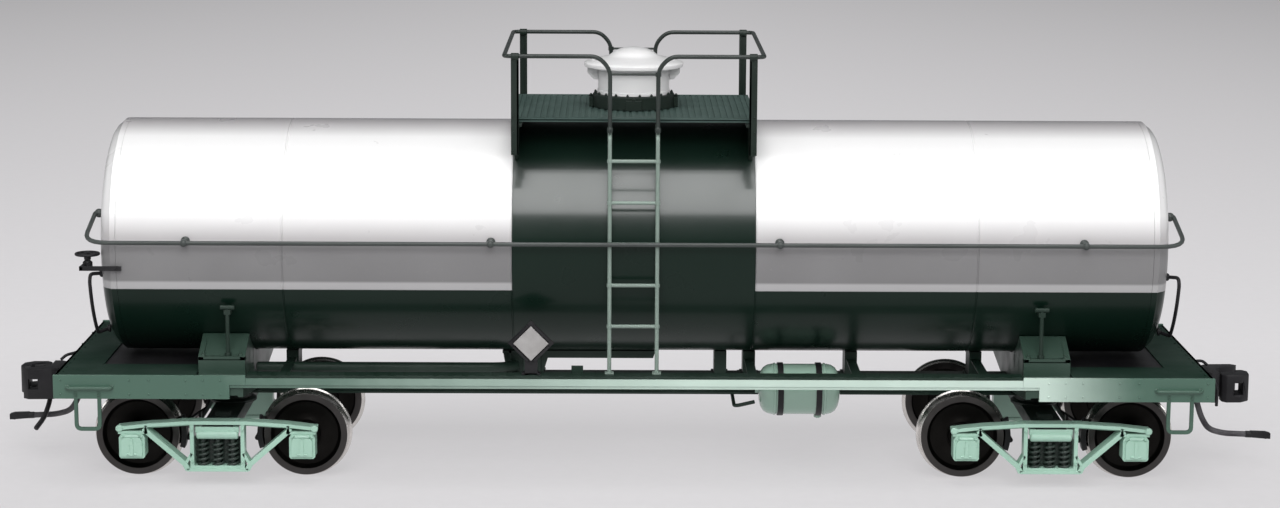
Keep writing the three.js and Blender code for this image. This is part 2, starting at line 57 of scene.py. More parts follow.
def span(node):
    """Lowest corner, highest corner and middle of a CAD node, in millimetres above the rail head."""
    low, high = (corner / MM - Vector((0, 0, FLANGE_DEPTH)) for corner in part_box(node))
    return low, high, (low + high) / 2


# ---------------------------------------------------------------- sizes read from the frame
TANK_LOW, TANK_HIGH, TANK_MID = span("tank_barrel")
TANK_R = (TANK_HIGH.z - TANK_LOW.z) / 2
TANK_Z = TANK_MID.z
TANK_END = TANK_HIGH.x
HEAD_END = span("tank_head_right")[1].x
SILL_LOW, SILL_HIGH, _ = span("side_sill_near")
SILL_FACE = span("end_platform_right")[0].y - 0.75
BODY_END = SILL_HIGH.x
SILL_TOP = SILL_HIGH.z
DECK_LOW, DECK_HIGH, DECK_MID = span("platform_deck")
TOP_X = DECK_MID.x
TRUCK_X = span("truck_bolster_right")[2].x
WHEEL_LOW, WHEEL_HIGH, WHEEL_MID = span("wheel_right_inner_far")
AXLE_Z = WHEEL_MID.z
JOURNAL_X = abs(span("wheel_right_outer_far")[2].x - WHEEL_MID.x) / 2
RAIL_TOP = span("platform_rail_right")[1].z - 0.45
CRADLE_R = TANK_R + 0.15
CENTRE_SILL_TOP = 17.8
HANDRAIL_Z = 50.5

# ---------------------------------------------------------------- colours (linear)
GREEN = (0.007, 0.021, 0.0135)
TANK_GREEN = (0.004, 0.014, 0.009)
DOME_GREEN = (0.003, 0.011, 0.0065)
# a paler copy of the body green for the bolster saddles: painted light
SADDLE_LIT_GREEN = (0.026, 0.054, 0.039)
# a darker copy of the truck paint, painted shade inside the trucks
NEST_SHADE_GREEN = (0.018, 0.03, 0.024)
PALE = (0.05, 0.1, 0.073)
END_GREEN = (0.009, 0.027, 0.018)
SILL_GREEN = (0.058, 0.116, 0.086)
# pale grey green of a painted highlight along the side sill's middle
SILL_GLARE_PALE = (0.5, 0.62, 0.55)
MINT = (0.33, 0.52, 0.42)
WHITE = (0.76, 0.755, 0.755)
# grey of painted shade on the tank's white below the rail
BAND_PAINTED_SHADE = (0.19, 0.187, 0.19)
# light grey of a painted reflection in a strip just above the tank's paint line
STRIP_PAINTED_REFLECTION = (0.4, 0.395, 0.4)
# darker white of painted shade just above the tank's rail
LOW_WHITE_PAINTED_SHADE = (0.44, 0.425, 0.43)
# grey of painted shade at the tank's crown
CROWN_PAINTED_SHADE = (0.42, 0.4, 0.41)
RAIL_GREY = (0.04, 0.048, 0.045)
RAIL_DARK = (0.014, 0.021, 0.018)
LADDER_GREY = (0.2, 0.26, 0.225)
DECK_GREY = (0.043, 0.076, 0.066)
BLACK = (0.007, 0.0065, 0.008)
NICKEL = (0.8, 0.77, 0.74)
STEEL = (0.42, 0.4, 0.38)
PLACARD = (0.26, 0.25, 0.245)
HOSE = (0.03, 0.027, 0.032)
RIM_DARK = (0.07, 0.066, 0.064)
WEB_BLACK = (0.015, 0.014, 0.013)
# pale green standing for the reservoir's highlight: painted highlight
RESERVOIR_HIGHLIGHT_GREEN = (0.28, 0.42, 0.34)
RIM_RADIUS = 8.62
WEB_RADIUS = 7.25


# ---------------------------------------------------------------- materials
class Finish:
    """One node material, with short calls for the nodes that the finishes share."""

    def __init__(self, name, **sockets):
        self.material = bpy.data.materials.new(name)
        self.material.use_nodes = True
        self.tree = self.material.node_tree
        self.shader = self.tree.nodes["Principled BSDF"]
        for socket, value in sockets.items():
            self.shader.inputs[socket.replace("_", " ")].default_value = value
        self.where = self.node("ShaderNodeTexCoord").outputs["Object"]

    def node(self, kind, inputs=None, **settings):
        made = self.tree.nodes.new(kind)
        for key, value in settings.items():
            setattr(made, key, value)
        for key, value in (inputs or {}).items():
            self.feed(made.inputs[key], value)
        return made

    def feed(self, socket, value):
        if isinstance(value, bpy.types.NodeSocket):
            self.tree.links.new(value, socket)
        else:
            socket.default_value = value

    def noise(self, size_mm, detail=3.0, stretch=(1, 1, 1)):
        """Noise whose features are about size_mm across."""
        place = self.node("ShaderNodeMapping", {"Vector": self.where, "Scale": stretch})
        inputs = {"Vector": place.outputs[0], "Scale": 1 / (size_mm * MM), "Detail": detail}
        return self.node("ShaderNodeTexNoise", inputs).outputs["Fac"]

    def ramp(self, value, low, high, out_low=0.0, out_high=1.0):
        inputs = {
            "Value": value,
            "From Min": low,
            "From Max": high,
            "To Min": out_low,
            "To Max": out_high,
        }
        return self.node("ShaderNodeMapRange", inputs).outputs["Result"]

    def math(self, operation, a, b=0.0):
        return self.node("ShaderNodeMath", {0: a, 1: b}, operation=operation).outputs[0]

    def blend(self, factor, a, b):
        """Colour a where factor is 0, colour b where it is 1."""
        a, b = ((*c, 1.0) if isinstance(c, tuple) else c for c in (a, b))
        mix = self.node("ShaderNodeMix", {0: factor, 6: a, 7: b}, data_type="RGBA")
        return mix.outputs[2]

    def bump(self, height, depth_mm, strength=1.0, normal=None):
        inputs = {"Height": height, "Distance": depth_mm * MM, "Strength": strength}
        if normal is not None:
            inputs["Normal"] = normal
        return self.node("ShaderNodeBump", inputs).outputs["Normal"]

    def done(self, colour, roughness, normal):
        self.feed(self.shader.inputs["Base Color"], colour)
        self.feed(self.shader.inputs["Roughness"], roughness)
        self.feed(self.shader.inputs["Normal"], normal)
        return self.material


def lighter(colour, share):
    return tuple(c + (1 - c) * share for c in colour)


def darker(colour, share):
    return tuple(c * (1 - share) for c in colour)


def sprayed(name, colour, roughness, peel_mm=0.55, **sockets):
    """Spray-painted metal: faint cloudiness, dust specks, orange peel and slightly uneven gloss."""
    finish = Finish(name, **sockets)
    cloud = finish.ramp(finish.noise(14, 4.0), 0.3, 0.75)
    tint = finish.blend(cloud, darker(colour, 0.12), lighter(colour, 0.015))
    specks = finish.ramp(finish.noise(0.45, 2.0), 0.68, 0.8, 0.0, 0.2)
    tint = finish.blend(specks, tint, lighter(colour, 0.12))
    gloss = finish.ramp(finish.noise(6, 4.0), 0.3, 0.7, roughness - 0.05, roughness + 0.07)
    peel = finish.bump(finish.noise(peel_mm, 2.0), 0.012, 0.5)
    grain = finish.bump(finish.noise(0.12, 1.0), 0.004, 0.4, peel)
    return finish.done(tint, gloss, grain)


def sill_paint():
    """The side sill: green at the deep ends, paling to grey green along the thin middle; the paling is a
    painted highlight of the lamps' glare.
    """
    finish = Finish("sill_green_painted_glare")
    x = finish.node("ShaderNodeSeparateXYZ", {"Vector": finish.where}).outputs["X"]
    left = finish.ramp(x, -100 * MM, 10 * MM)
    right = finish.ramp(x, 106 * MM, 84 * MM)
    # painted highlight: the sill pales towards its middle as the lamps' glare would make it
    painted_glare = finish.math("POWER", finish.math("MULTIPLY", left, right), 1.6)
    cloud = finish.ramp(finish.noise(9, 4.0), 0.3, 0.75, 0.0, 0.12)
    painted_glare = finish.math("SUBTRACT", painted_glare, cloud)
    tint = finish.blend(finish.math("MAXIMUM", painted_glare, 0.0), SILL_GREEN, SILL_GLARE_PALE)
    rough = finish.ramp(finish.noise(6, 4.0), 0.3, 0.7, 0.3, 0.42)
    return finish.done(tint, rough, finish.bump(finish.noise(0.5, 2.0), 0.012, 0.5))


def tank_paint():
    """Green below the paint line and in the middle band, and white above.

    The white has a light strip at the paint line, which is a painted reflection. It is grey up to the rail
    and darkens a little just above it and at the crown, all of which is painted shade. The gloss rises with
    height.
    """
    paint_line = 40.3
    band_left, band_right = -25.2, 24.6
    soft = 0.06
    finish = Finish("tank_two_colour_gloss", Coat_Roughness=0.13)
    axes = finish.node("ShaderNodeSeparateXYZ", {"Vector": finish.where})
    x, z = axes.outputs["X"], axes.outputs["Z"]
    finish.feed(finish.shader.inputs["Coat Weight"], finish.ramp(z, 49 * MM, 57 * MM, 0.1, 1.0))
    finish.feed(finish.shader.inputs["Specular IOR Level"], finish.ramp(z, 49 * MM, 57 * MM, 0.2, 0.8))
    above = finish.ramp(z, (paint_line - soft) * MM, (paint_line + soft) * MM)
    middle = (band_left + band_right) / 2 * MM
    reach = (band_right - band_left) / 2
    outside = finish.math("ABSOLUTE", finish.math("SUBTRACT", x, middle))
    outside = finish.ramp(outside, (reach - soft) * MM, (reach + soft) * MM)
    white = finish.math("MULTIPLY", above, outside)
    cloud = finish.ramp(finish.noise(22, 4.0), 0.3, 0.7)
    green_tint = finish.blend(cloud, TANK_GREEN, darker(TANK_GREEN, 0.15))
    upper = finish.ramp(z, (HANDRAIL_Z - 0.9) * MM, (HANDRAIL_Z + 0.1) * MM)
    # painted reflection: a lighter strip on the white just above the paint line
    reflection_strip = finish.ramp(z, 42.2 * MM, 41.7 * MM)
    # painted shade: the white darkens towards the rail from above
    shade_above_rail = finish.ramp(z, 56 * MM, 51 * MM)
    # painted shade: the white is grey from the paint line up to the rail, with a painted reflection as a
    # light strip at its bottom
    band_painted_light = finish.blend(reflection_strip, BAND_PAINTED_SHADE, STRIP_PAINTED_REFLECTION)
    white_tint = finish.blend(upper, band_painted_light, finish.blend(shade_above_rail, WHITE, LOW_WHITE_PAINTED_SHADE))
    # painted shade: the white greys at the very top of the tank
    white_tint = finish.blend(finish.ramp(z, 70.2 * MM, 72.4 * MM), white_tint, CROWN_PAINTED_SHADE)
    white_tint = finish.blend(finish.math("MULTIPLY", cloud, 0.05), white_tint, (0.74, 0.74, 0.74))
    specks = finish.ramp(finish.noise(0.5, 2.0), 0.72, 0.8, 0.0, 0.2)
    white_tint = finish.blend(specks, white_tint, (0.45, 0.44, 0.42))
    tint = finish.blend(white, green_tint, white_tint)
    gloss = finish.ramp(finish.noise(9, 4.0), 0.3, 0.7, 0.26, 0.36)
    step = finish.bump(white, 0.03, 0.6)
    peel = finish.bump(finish.noise(0.7, 2.0), 0.01, 0.5, step)
    return finish.done(tint, gloss, peel)


def plated(name, colour, roughness, groove_mm, axis="Y", zones=()):
    """Turned metal with fine rings about an axis. Inside each zone's radius it takes the zone's colour."""
    finish = Finish(name, Metallic=1.0)
    axes = finish.node("ShaderNodeSeparateXYZ", {"Vector": finish.where})
    others = [axes.outputs[a] for a in "XYZ" if a != axis]
    squares = [finish.math("MULTIPLY", o, o) for o in others]
    radius = finish.math("SQRT", finish.math("ADD", *squares))
    along = axes.outputs[axis]
    rings = finish.math("ADD", radius, along)
    rings = finish.math("SINE", finish.math("MULTIPLY", rings, 2 * math.pi / (groove_mm * MM)))
    wobble = finish.math("MULTIPLY", rings, finish.noise(1.5, 3.0))
    stain = finish.ramp(finish.noise(3.2, 4.0), 0.35, 0.7)
    tint = finish.blend(finish.math("MULTIPLY", stain, 0.5), colour, darker(colour, 0.45))
    rough = finish.ramp(finish.noise(2.2, 4.0), 0.3, 0.7, roughness - 0.06, roughness + 0.1)
    for limit, zone_colour in zones:
        inside = finish.ramp(radius, (limit + 0.05) * MM, (limit - 0.05) * MM)
        tint = finish.blend(inside, tint, zone_colour)
        rough = finish.math("ADD", rough, finish.math("MULTIPLY", inside, 0.12))
    return finish.done(tint, rough, finish.bump(wobble, 0.006, 0.5))


def rubber():
    finish = Finish("hose_rubber")
    cloud = finish.ramp(finish.noise(2.5, 4.0), 0.35, 0.7)
    tint = finish.blend(cloud, HOSE, lighter(HOSE, 0.06))
    rough = finish.ramp(finish.noise(1.2, 3.0), 0.3, 0.7, 0.5, 0.72)
    return finish.done(tint, rough, finish.bump(finish.noise(0.25, 3.0), 0.03, 0.7))


def board():
    finish = Finish("placard_board")
    cloud = finish.ramp(finish.noise(3, 4.0), 0.3, 0.7)
    tint = finish.blend(cloud, PLACARD, lighter(PLACARD, 0.12))
    rough = finish.ramp(finish.noise(1.0, 3.0), 0.3, 0.7, 0.55, 0.7)
    return finish.done(tint, rough, finish.bump(finish.noise(0.3, 3.0), 0.02, 0.6))


def studio_paper():
    """Pale paper that glows a little, brightest under the wagon and fading towards the back and sides."""
    finish = Finish("studio_paper")
    axes = finish.node("ShaderNodeSeparateXYZ", {"Vector": finish.where})
    rise = finish.ramp(axes.outputs["Y"], -0.12, 0.12, 0.5, 0.6)
    fall = finish.ramp(axes.outputs["Y"], 0.1, 1.5, 0.0, 0.2)
    aside = finish.ramp(finish.math("ABSOLUTE", axes.outputs["X"]), 0.0, 0.45, 0.0, 0.1)
    glow = finish.math("SUBTRACT", finish.math("SUBTRACT", rise, fall), aside)
    fibre = finish.ramp(finish.noise(3, 5.0), 0.3, 0.7)
    tint = finish.blend(fibre, (0.15, 0.147, 0.15), (0.17, 0.167, 0.17))
    finish.feed(finish.shader.inputs["Emission Strength"], glow)
    finish.feed(finish.shader.inputs["Emission Color"], (0.985, 0.965, 0.985, 1.0))
    return finish.done(tint, finish.ramp(fibre, 0, 1, 0.85, 0.95), finish.bump(fibre, 0.05, 0.3))


PAINTS = {
    "tank_paint": tank_paint(),
    "body_green": sprayed("green_satin", GREEN, 0.46, Specular_IOR_Level=0.3),
    "pale_green": sprayed("pale_green_satin", PALE, 0.42, Specular_IOR_Level=0.4),
    "tank_white": sprayed("white_gloss", WHITE, 0.32, Coat_Weight=0.5, Coat_Roughness=0.15),
    "rail_paint": sprayed("rail_satin", RAIL_GREY, 0.36),
    "black_metal": sprayed("black_satin", BLACK, 0.46, Specular_IOR_Level=0.3),
    "wheel_nickel": plated(
        "wheel_nickel", NICKEL, 0.22, 0.22, zones=[(RIM_RADIUS, RIM_DARK), (WEB_RADIUS, WEB_BLACK)]
    ),
    "axle_steel": plated("axle_steel", STEEL, 0.3, 0.3),
    "placard_grey": board(),
    "hose_black": rubber(),
}
SILL_PAINT = sill_paint()
TRUCK_PAINT = sprayed("truck_mint", MINT, 0.3)
END_PAINT = sprayed("end_deck_green", END_GREEN, 0.58, Specular_IOR_Level=0.1)
# painted shade: the spring nests and the middle of the truck beams take this darker copy of the truck paint
NEST_SHADE_PAINT = sprayed("spring_nest_green_painted_shade", NEST_SHADE_GREEN, 0.4)
# painted light: the saddles take a lighter green than the body paint
SADDLE_LIT_PAINT = sprayed("saddle_green_painted_light", SADDLE_LIT_GREEN, 0.42, Specular_IOR_Level=0.35)
DOME_PAINT = sprayed("dome_base_green", DOME_GREEN, 0.42, Specular_IOR_Level=0.3)
DECK_PAINT = sprayed("deck_grey_green", DECK_GREY, 0.55, Specular_IOR_Level=0.25)
LADDER_PAINT = sprayed("ladder_grey_green", LADDER_GREY, 0.36)
UPPER_RAIL_PAINT = sprayed("upper_rail_green", RAIL_DARK, 0.34)
# painted highlight: the whole reservoir is painted far paler than the other greens
RESERVOIR_HIGHLIGHT_PAINT = sprayed("reservoir_green_painted_highlight", RESERVOIR_HIGHLIGHT_GREEN, 0.2, Coat_Weight=0.6)


# ---------------------------------------------------------------- mesh building
def rounded(corners, bend, steps=6):
    """A path through corners, each rounded to about the bend radius."""
    points = [Vector(p) for p in corners]
    path = [points[0]]
    for before, corner, after in zip(points, points[1:], points[2:]):
        back, ahead = before - corner, after - corner
        reach = min(bend, back.length / 2.2, ahead.length / 2.2)
        start = corner + back.normalized() * reach
        end = corner + ahead.normalized() * reach
        for k in range(steps + 1):
            t = k / steps
            path.append(start * (1 - t) ** 2 + corner * 2 * t * (1 - t) + end * t**2)
    path.append(points[-1])
    return path


def arc(centre, radius, start, end, count):
    """Points on a circle in a plane, from one angle to another in degrees."""
    angles = [math.radians(start + (end - start) * k / count) for k in range(count + 1)]
    return [(centre[0] + radius * math.cos(a), centre[1] + radius * math.sin(a)) for a in angles]


def strip(path, width):
    """The outline of a flat bar of that width along a path of 2-D points."""
    points = [Vector(p) for p in path]
    sides = []
    for i, p in enumerate(points):
        ahead = (points[min(i + 1, len(points) - 1)] - p).normalized()
        back = (p - points[max(i - 1, 0)]).normalized()
        along = (ahead + back).normalized()
        square = Vector((-along.y, along.x))
        lean = max(0.5, abs(along.dot(ahead if ahead.length else back)))
        sides.append((p + square * width / 2 / lean, p - square * width / 2 / lean))
    return [tuple(a) for a, _ in sides] + [tuple(b) for _, b in reversed(sides)]


class Shape:
    """The surfaces of one piece. at is its place; a turned shape is given half a turn about it."""

    def __init__(self, at=(0, 0, 0), turned=False):
        self.mesh = bmesh.new()
        self.at = Vector(at)
        self.sign = -1 if turned else 1

    def vertex(self, p):
        return self.mesh.verts.new((self.sign * p[0], self.sign * p[1], p[2]))

    def face(self, corners):
        distinct = list(dict.fromkeys(corners))
        if len(distinct) > 2:
            self.mesh.faces.new(distinct)

    def skin(self, rings, hollow=False):
        """Quads between rings of points. A ring of one point is a tip; a hollow skin closes on itself."""
        made = [[self.vertex(p) for p in ring] for ring in rings]
        pairs = list(zip(made, made[1:]))
        if hollow:
            pairs.append((made[-1], made[0]))
        for a, b in pairs:
            n = max(len(a), len(b))
            for i in range(n):
                j = (i + 1) % n
                self.face([a[i % len(a)], a[j % len(a)], b[j % len(b)], b[i % len(b)]])
        if not hollow:
            self.face(made[0])
            self.face(made[-1])

    def turn(self, profile, centre=(0, 0, 0), axis="z", steps=32, hollow=False):
        """A profile of (radius, along) points turned about an axis through centre."""
        cx, cy, cz = centre
        rings = []
        for radius, along in profile:
            ring = []
            for k in range(steps if radius > 0 else 1):
                angle = 2 * math.pi * k / steps
                u, v = radius * math.cos(angle), radius * math.sin(angle)
                ring.append({
                    "x": (cx + along, cy + u, cz + v),
                    "y": (cx + u, cy + along, cz + v),
                    "z": (cx + u, cy + v, cz + along),
                }[axis])
            rings.append(ring)
        self.skin(rings, hollow)

    def tube(self, corners, radius, bend=0.0, sides=10):
        """A round wire along a path; its ends are slightly domed."""
        path = rounded(corners, bend) if bend else [Vector(p) for p in corners]
        path = [p for i, p in enumerate(path) if i == 0 or (p - path[i - 1]).length > 1e-4]
        rings = []
        normal = None
        for i, p in enumerate(path):
            along = (path[min(i + 1, len(path) - 1)] - path[max(i - 1, 0)]).normalized()
            if normal is None:
                normal = along.orthogonal().normalized()
            normal = (normal - along * normal.dot(along)).normalized()
            other = along.cross(normal)
            angles = [2 * math.pi * k / sides for k in range(sides)]
            circle = [normal * math.cos(a) + other * math.sin(a) for a in angles]
            if i == 0:
                rings.append([p + c * radius * 0.7 for c in circle])
                p = p + along * radius * 0.25
            if i == len(path) - 1:
                rings.append([p - along * radius * 0.25 + c * radius for c in circle])
                rings.append([p + c * radius * 0.7 for c in circle])
                continue
            rings.append([p + c * radius for c in circle])
        self.skin(rings)

    def plate(self, outline, low, high, axis="y", holes=()):
        """An outline with holes, pushed along an axis from low to high."""
        place = {
            "x": lambda a, b, t: (t, a, b),
            "y": lambda a, b, t: (a, t, b),
            "z": lambda a, b, t: (a, b, t),
        }[axis]
        loops = [list(outline), *[list(h) for h in holes]]
        layers = [
            [[self.vertex(place(a, b, t)) for a, b in loop] for loop in loops]
            for t in (low, high)
        ]
        for bottom, top in zip(*layers):
            for i in range(len(bottom)):
                j = (i + 1) % len(bottom)
                self.face([bottom[i], bottom[j], top[j], top[i]])
        triangles = None
        if holes:
            triangles = tessellate_polygon([[Vector((a, b, 0)) for a, b in loop] for loop in loops])
        for layer in layers:
            flat = [v for loop in layer for v in loop]
            for corners in triangles or [range(len(flat))]:
                self.face([flat[i] for i in corners])

    def box(self, x0, x1, y0, y1, z0, z1):
        self.plate([(x0, z0), (x1, z0), (x1, z1), (x0, z1)], y0, y1)

    def studs(self, points, radius, height, axis="z", steps=8):
        """Round heads that stand out of a surface along an axis; a negative height goes the other way."""
        profile = [(radius, -height * 0.5), (radius, height * 0.35), (radius * 0.75, height * 0.8)]
        for p in points:
            self.turn([*profile, (0, height)], p, axis, steps)

    def nuts(self, points, radius, height, axis="z"):
        for p in points:
            self.turn([(radius, 0), (radius, height * 0.85), (radius * 0.85, height)], p, axis, 6)
            self.turn([(radius * 0.5, 0), (radius * 0.5, height * 1.5)], p, axis, 10)

    def finish(self, name, slot, body=BODY, nodes=(), bevel=0.0, smooth=38, paint=None):
        """Makes the piece, in metres, riding on its CAD body and standing for its CAD nodes."""
        bmesh.ops.recalc_face_normals(self.mesh, faces=self.mesh.faces)
        self.mesh.transform(Matrix.Scale(MM, 4))
        data = bpy.data.meshes.new(name)
        self.mesh.to_mesh(data)
        self.mesh.free()
        data.shade_smooth()
        data.materials.append(paint or PAINTS[slot])
        made = bpy.data.objects.new(name, data)
        made.location = (self.at + Vector((0, 0, FLANGE_DEPTH))) * MM
        bpy.context.scene.collection.objects.link(made)
        if bevel:
            edge = made.modifiers.new("rounded_edges", "BEVEL")
            edge.width = bevel * MM
            edge.segments = 2
            edge.angle_limit = math.radians(smooth)
            edge.harden_normals = True
            edge.use_clamp_overlap = True
        else:
            data.set_sharp_from_angle(angle=math.radians(smooth))
        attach(made, body)
        if nodes:
            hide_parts(*nodes)
        return made


# ---------------------------------------------------------------- camera, light and floor
def studio():
    place = Vector((-0.00319, -0.5911, 0.14874))
    tilt, pan, roll = math.radians(10.0), 0.0073, 0.005
    lens = bpy.data.cameras.new("camera")
    lens.lens = 79.46
    lens.sensor_width = 36.0
    lens.clip_start = 0.01
    lens.clip_end = 20.0
    camera = bpy.data.objects.new("camera", lens)
    turn = (
        Matrix.Rotation(-pan, 4, "Z")
        @ Matrix.Rotation(math.pi / 2 - tilt, 4, "X")
        @ Matrix.Rotation(roll, 4, "Z")
    )
    camera.matrix_world = Matrix.Translation(place) @ turn
    bpy.context.scene.collection.objects.link(camera)
    bpy.context.scene.camera = camera
    bpy.context.scene.view_settings.view_transform = "Standard"

    def place_on(elevation, azimuth, distance):
        up, round_about = math.radians(elevation), math.radians(azimuth)
        flat = distance * math.cos(up)
        return Vector((flat * math.sin(round_about), -flat * math.cos(round_about), distance * math.sin(up)))

    softboxes = [
        ("key_above", place_on(60, 0, 1.0), (0.85, 1.2), 9.5, True),
        ("front_fill", place_on(27, 0, 1.15), (0.9, 0.5), 7.0, False),
        ("side_left", place_on(25, -75, 1.1), (0.35, 0.5), 1.6, True),
        ("side_right", place_on(25, 75, 1.1), (0.35, 0.5), 1.6, True),
    ]
    aim = Vector((0, 0, 0.045))
    for name, spot, size, watts, mirrored_in_gloss in softboxes:
        light = bpy.data.lights.new(name, "AREA")
        light.shape = "RECTANGLE"
        light.size, light.size_y = size
        light.energy = watts
        lamp = bpy.data.objects.new(name, light)
        lamp.location = aim + spot
        lamp.rotation_euler = (-spot).to_track_quat("-Z", "Y").to_euler()
        lamp.visible_glossy = mirrored_in_gloss
        bpy.context.scene.collection.objects.link(lamp)

    world = bpy.data.worlds.new("studio_air")
    bpy.context.scene.world = world
    world.use_nodes = True
    air = world.node_tree.nodes["Background"]
    air.inputs["Color"].default_value = (0.95, 0.97, 1.0, 1.0)
    air.inputs["Strength"].default_value = 0.16

    paper = bmesh.new()
    corners = [(-3.0, -2.0), (3.0, -2.0), (3.0, 2.5), (-3.0, 2.5)]
    paper.faces.new([paper.verts.new((x, y, 0.0)) for x, y in corners])
    data = bpy.data.meshes.new("studio_floor")
    paper.to_mesh(data)
    paper.free()
    data.materials.append(studio_paper())
    floor = bpy.data.objects.new("studio_floor", data)
    bpy.context.scene.collection.objects.link(floor)


# ---------------------------------------------------------------- tank
SEAMS = (-72.0, -25.2, 24.6, 70.0)


def tank():
    shell = Shape()
    groove, depth = 0.22, 0.14
    inner = TANK_R - 0.7
    profile = [(inner, TANK_LOW.x), (TANK_R, TANK_LOW.x)]
    for x in SEAMS:
        profile += [
            (TANK_R, x - groove),
            (TANK_R - depth, x - groove * 0.4),
            (TANK_R - depth, x + groove * 0.4),
            (TANK_R, x + groove),
        ]
    profile += [(TANK_R, TANK_END), (inner, TANK_END)]
    shell.turn(profile, (0, 0, TANK_Z), "x", 176, hollow=True)
    shell.finish("barrel_jacket", "tank_paint", nodes=["tank_barrel"], smooth=30)

    for end, turned in (("right", False), ("left", True)):
        head = Shape(turned=turned)
        start = TANK_END + 0.05
        curve = [
            (0, HEAD_END),
            (8.4, HEAD_END - 0.1),
            (13, HEAD_END - 0.28),
            (16.9, HEAD_END - 0.55),
            (19.6, HEAD_END - 0.85),
            (21.4, HEAD_END - 1.15),
            (22.5, HEAD_END - 1.55),
            (23.3, HEAD_END - 2.1),
            (23.8, HEAD_END - 2.75),
            (TANK_R - 0.02, HEAD_END - 3.4),
            (TANK_R, start + 0.5),
            (TANK_R, start),
            (TANK_R - 0.7, start),
            (TANK_R - 0.9, start + 1.2),
            (20, HEAD_END - 1.9),
            (0, HEAD_END - 0.8),
        ]
        head.turn(curve, (0, 0, TANK_Z), "x", 176)
        head.finish(f"head_shell_{end}", "tank_paint", nodes=[f"tank_head_{end}"], smooth=40)


# ---------------------------------------------------------------- underframe
def centre_sill():
    """A riveted box with blocks under the tank and arms out to the side sills."""
    low, high, _ = span("centre_sill")
    top = CENTRE_SILL_TOP
    half, web = 4.0, 3.5
    beam = Shape()
    beam.box(low.x, high.x, -web, -web + 0.7, low.z + 0.3, top - 0.2)
    beam.box(low.x, high.x, web - 0.7, web, low.z + 0.3, top - 0.2)
    beam.box(low.x, high.x, -half, half, top - 0.5, top)
    beam.box(low.x, high.x, -half, half, low.z, low.z + 0.5)
    for x in (-72.6, 18.3, 24.4, 46.1, 72.6):
        beam.box(x - 1.3, x + 1.3, -3.2, 3.2, top - 0.1, high.z)
        beam.box(x - 1.8, x + 1.8, -3.7, 3.7, top - 0.1, top + 0.4)
    z = 21.9
    for x in (-72.6, 24.4, 46.1, 72.6):
        for side in (-1, 1):
            root, tip = side * 3.0, side * abs(SILL_FACE + 0.75)
            y0, y1 = sorted((root, tip))
            beam.box(x - 1, x + 1, y0, y1, z - 0.35, z)
            beam.box(x - 0.22, x + 0.22, y0, y1, z - 1.0, z - 0.2)
            heads = [(x + dx, side * y, z) for dx in (-0.6, 0.6) for y in (25.8, 7.0)]
            beam.studs(heads, 0.22, 0.18)
    rows = [(x, 16.05) for x in range(-98, 99, 4)]
    beam.studs([(x, -web, z) for x, z in rows], 0.24, -0.2, "y")
    beam.studs([(x, web, z) for x, z in rows], 0.24, 0.2, "y")
    beam.finish("centre_sill_beam", "body_green", nodes=["centre_sill"], bevel=0.1)


def tank_anchor():
    low, high, _ = span("tank_anchor")
    casting = Shape()
    side = [
        (-27, low.z), (-19.6, low.z), (-18.4, 21.8), (4, 21.8), (4.6, high.z), (-28, high.z),
    ]
    casting.plate(side, -2.6, 2.6)
    casting.box(-28, 4.6, low.y, high.y, high.z - 0.6, high.z)
    casting.box(-27.6, -19, low.y, high.y, low.z, low.z + 0.6)
    for x in (-26.4, -23.3, -20.2):
        casting.box(x - 0.3, x + 0.3, low.y, high.y, low.z, high.z)
    bolts = [(x, y, low.z + 0.6) for x in (-25, -21.8) for y in (low.y + 0.5, high.y - 0.5)]
    casting.nuts(bolts, 0.4, 0.4)
    casting.finish("anchor_casting", "body_green", nodes=["tank_anchor"], bevel=0.12)


